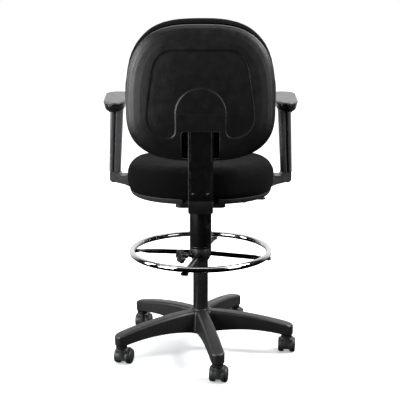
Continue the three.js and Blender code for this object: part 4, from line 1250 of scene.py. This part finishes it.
def arm_sleeve():
    """The hollow upright, with a pocket for its button."""
    sleeve_low, sleeve_high = low("arm_sleeve_left"), high("arm_sleeve_left")
    y = middle("arm_sleeve_left")[1]
    depth = sleeve_high[1] - sleeve_low[1]
    bottom, top = sleeve_low[2], sleeve_high[2]
    rings = []
    ends = (top - 13.4, top - 12.8, top - 2, top - 0.6)
    for z in (bottom, bottom + 0.8, *np.linspace(bottom + 6, top - 14, 30), *ends):
        inner, outer = sleeve_edges(z)
        grow = 0.0 if z < top - 13.2 else 0.9
        trim = 0.8 if z in (bottom, top - 0.6) else 0.0
        section = sleeve_section(inner + trim - grow, outer - trim, depth - 2 * trim + grow)
        rings.append([(x, y + d, z) for x, d in section])
    sleeve = loft("sleeve", rings)
    button_low, button_high = low("arm_button_left"), high("arm_button_left")
    pocket = block("pocket", button_low - (4.8, 0.5, 0.5), button_high + (8, 0.5, 0.5))
    socket_outline = round_rectangle(19, 43, 3) + (281, y)
    bore = loft("bore", [flat_ring(socket_outline, z) for z in (bottom - 2, top - 27)])
    return cut(sleeve, pocket, bore, solver="MANIFOLD")


def arm_channel_shade_sheet():
    """A near-black sheet laid along the channel in the upright's rear face: painted shade that darkens the
    channel.
    """
    bottom, top = span("arm_sleeve_left")
    face = high("arm_sleeve_left")[1]
    rings = []
    for z in (bottom + 1.5, *np.linspace(bottom + 4, top - 17, 12), top - 15):
        inner, outer = sleeve_edges(z)
        start, end = outer - 0.5 * (outer - inner), outer - RIB_SHARE * (outer - inner)
        rings.append([
            (end, face - 4.6, z), (end, face - 2.6, z), (end - 1, face - 2.2, z),
            (start + 1, face - 2.2, z), (start, face - 2.6, z), (start, face - 4.6, z),
        ])
    return loft("strip", rings)


def arm_button():
    size = high("arm_button_left") - low("arm_button_left")
    y, z = middle("arm_button_left")[1:]
    button = plate("button", round_rectangle(size[2], size[1], 3), 0, size[0], 1.4, 4)
    return moved(button, shift(low("arm_button_left")[0], y, z) @ spin(90, "Y"))


def arm_pad_and_bowl():
    """The pad and the glossy bowl under it, both tilted with the arm's top."""
    slope = 3.5
    y, top = middle("arm_sleeve_left")[1], high("arm_sleeve_left")[2]
    pad_low, pad_high = low("arm_pad_left"), high("arm_pad_left")
    pad_x = middle("arm_pad_left")[0]
    pad_half = (pad_high[0] - pad_low[0]) / 2
    reach = np.array([pad_low[1] - y, pad_high[1] - y]) / math.cos(math.radians(slope))
    rim, thick = 25.0, 33.3
    tilt = shift(pad_x, y, top + 2) @ spin(-slope, "X")
    shape = lambda trim, z: flat_ring(pad_outline(pad_half, *reach, trim), z)
    pad_rings = [shape(3.4, rim + 0.2), shape(1.4, rim + 0.5), shape(0.4, rim + 1.4)]
    pad_rings += [shape(0.1, rim + 2.6), shape(0.3, rim + 3.8)]
    crown = thick - rim - 4.2
    for t in np.linspace(0.25, 1, 7) * TAU / 4:
        pad_rings.append(shape(5.5 - 5.2 * math.cos(t), rim + 3.8 + crown * math.sin(t)))
    pad_rings += [shape(9, thick - 0.25), shape(16, thick - 0.05), shape(24, thick), shape(31, thick)]
    pad = moved(loft("pad", pad_rings), tilt)
    bowl = []
    for t in np.linspace(0, 0.92, 14) * TAU / 4:
        bowl.append(shape(21.0 - 18.5 * math.sin(t) ** 0.6, (rim - 2.5) * (1 - math.cos(t))))
    bowl += [shape(2.4, 21.6), shape(1.3, 22.4), shape(0.9, 23.4), shape(1.1, 24.4), shape(1.9, 24.9)]
    return pad, moved(loft("bowl", bowl), tilt)


def build_arm(side, sign):
    """One arm, made on the sitter's left and mirrored for the right."""
    sleeve, button = arm_sleeve(), arm_button()
    pad, bowl = arm_pad_and_bowl()
    made = [
        (sleeve, "arm_sleeve_shape", "fitting_nylon", painted_light_arm, "arm_sleeve", "arm"),
        (pad, "arm_pad_soft", "arm_pad_foam", pad_skin, "arm_pad", "arm"),
        (bowl, "arm_pad_support_shape", "arm_gloss", gloss_black, "arm_pad_support", "arm"),
        (button, "arm_button_shape", "fitting_nylon", black_fitting, "arm_button", "arm_button"),
        # painted shade: a near-black sheet in the sleeve's channel
        (arm_channel_shade_sheet(), "arm_sleeve_painted_shade", "fitting_nylon", black_cover, None, "arm"),
    ]
    for piece, name, slot, material, node, body in made:
        if sign < 0:
            moved(piece, Matrix.Diagonal((-1, 1, 1, 1)))
        piece.name = f"{name}_{side}"
        wear(smooth(piece, 32), f"{body}_{side}", slot, material, *([f"{node}_{side}"] if node else []))
    ease_edges(f"arm_bracket_{side}", 2.2, 3, 20)
    finish_node(f"arm_bracket_{side}", painted_light_arm)


# ---------------------------------------------------------------- studio
def look(obj, target):
    obj.rotation_euler = (Vector(target) - obj.location).to_track_quat("-Z", "Y").to_euler()


def softbox(name, spot, target, width, height, power, shade=(1, 1, 1)):
    lamp = bpy.data.lights.new(name, "AREA")
    lamp.shape = "RECTANGLE"
    lamp.size, lamp.size_y, lamp.energy, lamp.color = width, height, power, shade
    obj = bpy.data.objects.new(name, lamp)
    obj.location = spot
    scene.collection.objects.link(obj)
    look(obj, target)
    obj.visible_camera = False
    return obj


def build_camera():
    lens = bpy.data.cameras.new("camera")
    lens.lens, lens.sensor_width = 77.4, 36
    camera = bpy.data.objects.new("camera", lens)
    camera.location = (0, 2.755, 1.108)
    camera.rotation_euler = (math.radians(90 - 12.08), 0, math.radians(180 + 0.04))
    scene.collection.objects.link(camera)
    scene.camera = camera
    scene.view_settings.view_transform = "Standard"


def build_floor():
    """Pale paper with a painted glow that grows with distance, so that it stays white but keeps the chair's
    shadow; the glow's bluish tint paints the shadow blue.
    """
    mesh = bpy.data.meshes.new("floor")
    mesh.from_pydata([(-30, -30, 0), (30, -30, 0), (30, 30, 0), (-30, 30, 0)], [], [(0, 1, 2, 3)])
    floor = bpy.data.objects.new("floor", mesh)
    scene.collection.objects.link(floor)
    paper = Recipe("studio_floor", 0.9)
    paper.skin.inputs["Specular IOR Level"].default_value = 0.0
    clouds = paper.spread(paper.noise(0.6, 2), 0.3, 0.7, 0, 1)
    paper.color(paper.blend(clouds, (0.9, 0.91, 0.92), (0.92, 0.925, 0.93)))
    floor.data.materials.append(paper.material)
    painted_glow = paper.tree.nodes.new("ShaderNodeEmission")
    # painted light: the floor glows though it is no lamp, least near the chair, and this bluish tint colours
    # the shadow there
    painted_glow.inputs["Color"].default_value = (0.93, 0.965, 1, 1)
    spot = paper.tree.nodes.new("ShaderNodeVectorMath")
    spot.operation = "LENGTH"
    paper.link(paper.coordinates.outputs["Object"], spot.inputs[0])
    paper.link(paper.spread(spot.outputs["Value"], 0.4, 1.1, 0.26, 1.12), painted_glow.inputs["Strength"])
    both = paper.tree.nodes.new("ShaderNodeAddShader")
    paper.link(paper.skin.outputs[0], both.inputs[0])
    paper.link(painted_glow.outputs[0], both.inputs[1])
    paper.link(both.outputs[0], paper.tree.nodes["Material Output"].inputs["Surface"])
    floor.visible_glossy = False
    floor.visible_diffuse = False


def build_lights():
    softbox("left_box", (2.2, 1.65, 1.15), (0, 0.1, 0.7), 1.3, 2.2, 95)
    softbox("left_strip", (2.6, 0.1, 1.1), (0, 0.1, 0.7), 0.5, 2.2, 30)
    softbox("right_box", (-2.1, 1.6, 1.3), (0, 0.1, 0.7), 1.0, 2.0, 18)
    softbox("right_strip", (-2.0, 0.4, 2.4), (0, 0.2, 0.9), 0.8, 1.5, 110)
    softbox("top_box", (0, -0.3, 3.4), (0, 0, 0), 3.4, 3.0, 85)


def build_world():
    """White to the camera; to all else dark, but for a bright field beyond the chair, towards -Y."""
    world = bpy.data.worlds.new("studio")
    scene.world = world
    world.use_nodes = True
    nodes, links = world.node_tree.nodes, world.node_tree.links
    nodes.clear()
    output = nodes.new("ShaderNodeOutputWorld")
    white = nodes.new("ShaderNodeBackground")
    white.inputs[0].default_value = (1, 1, 1, 1)
    around = nodes.new("ShaderNodeBackground")
    direction = nodes.new("ShaderNodeTexCoord")
    parts = nodes.new("ShaderNodeSeparateXYZ")
    links.new(direction.outputs["Generated"], parts.inputs[0])
    shares = []
    for part, values in ((1, (-0.32, -0.88, 0.012, 1.15)), (2, (-0.3, 0.0, 0.12, 1.0))):
        share = nodes.new("ShaderNodeMapRange")
        share.interpolation_type = "SMOOTHSTEP"
        for socket, value in zip(share.inputs[1:5], values):
            socket.default_value = value
        links.new(parts.outputs[part], share.inputs[0])
        shares.append(share)
    both = nodes.new("ShaderNodeMath")
    both.operation = "MULTIPLY"
    for share, socket in zip(shares, both.inputs):
        links.new(share.outputs[0], socket)
    links.new(both.outputs[0], around.inputs[0])
    mix = nodes.new("ShaderNodeMixShader")
    path = nodes.new("ShaderNodeLightPath")
    links.new(path.outputs["Is Camera Ray"], mix.inputs[0])
    links.new(around.outputs[0], mix.inputs[1])
    links.new(white.outputs[0], mix.inputs[2])
    links.new(mix.outputs[0], output.inputs["Surface"])


build_camera()
build_floor()
build_lights()
build_world()
build_base()
build_casters()
build_column()
build_foot_ring()
build_ring_clamp()
build_clamp_knob()
build_mechanism()
build_seat()
build_back_shell()
build_back_cushion()
build_back_support()
for arm_side, arm_sign in SIDES:
    build_arm(arm_side, arm_sign)
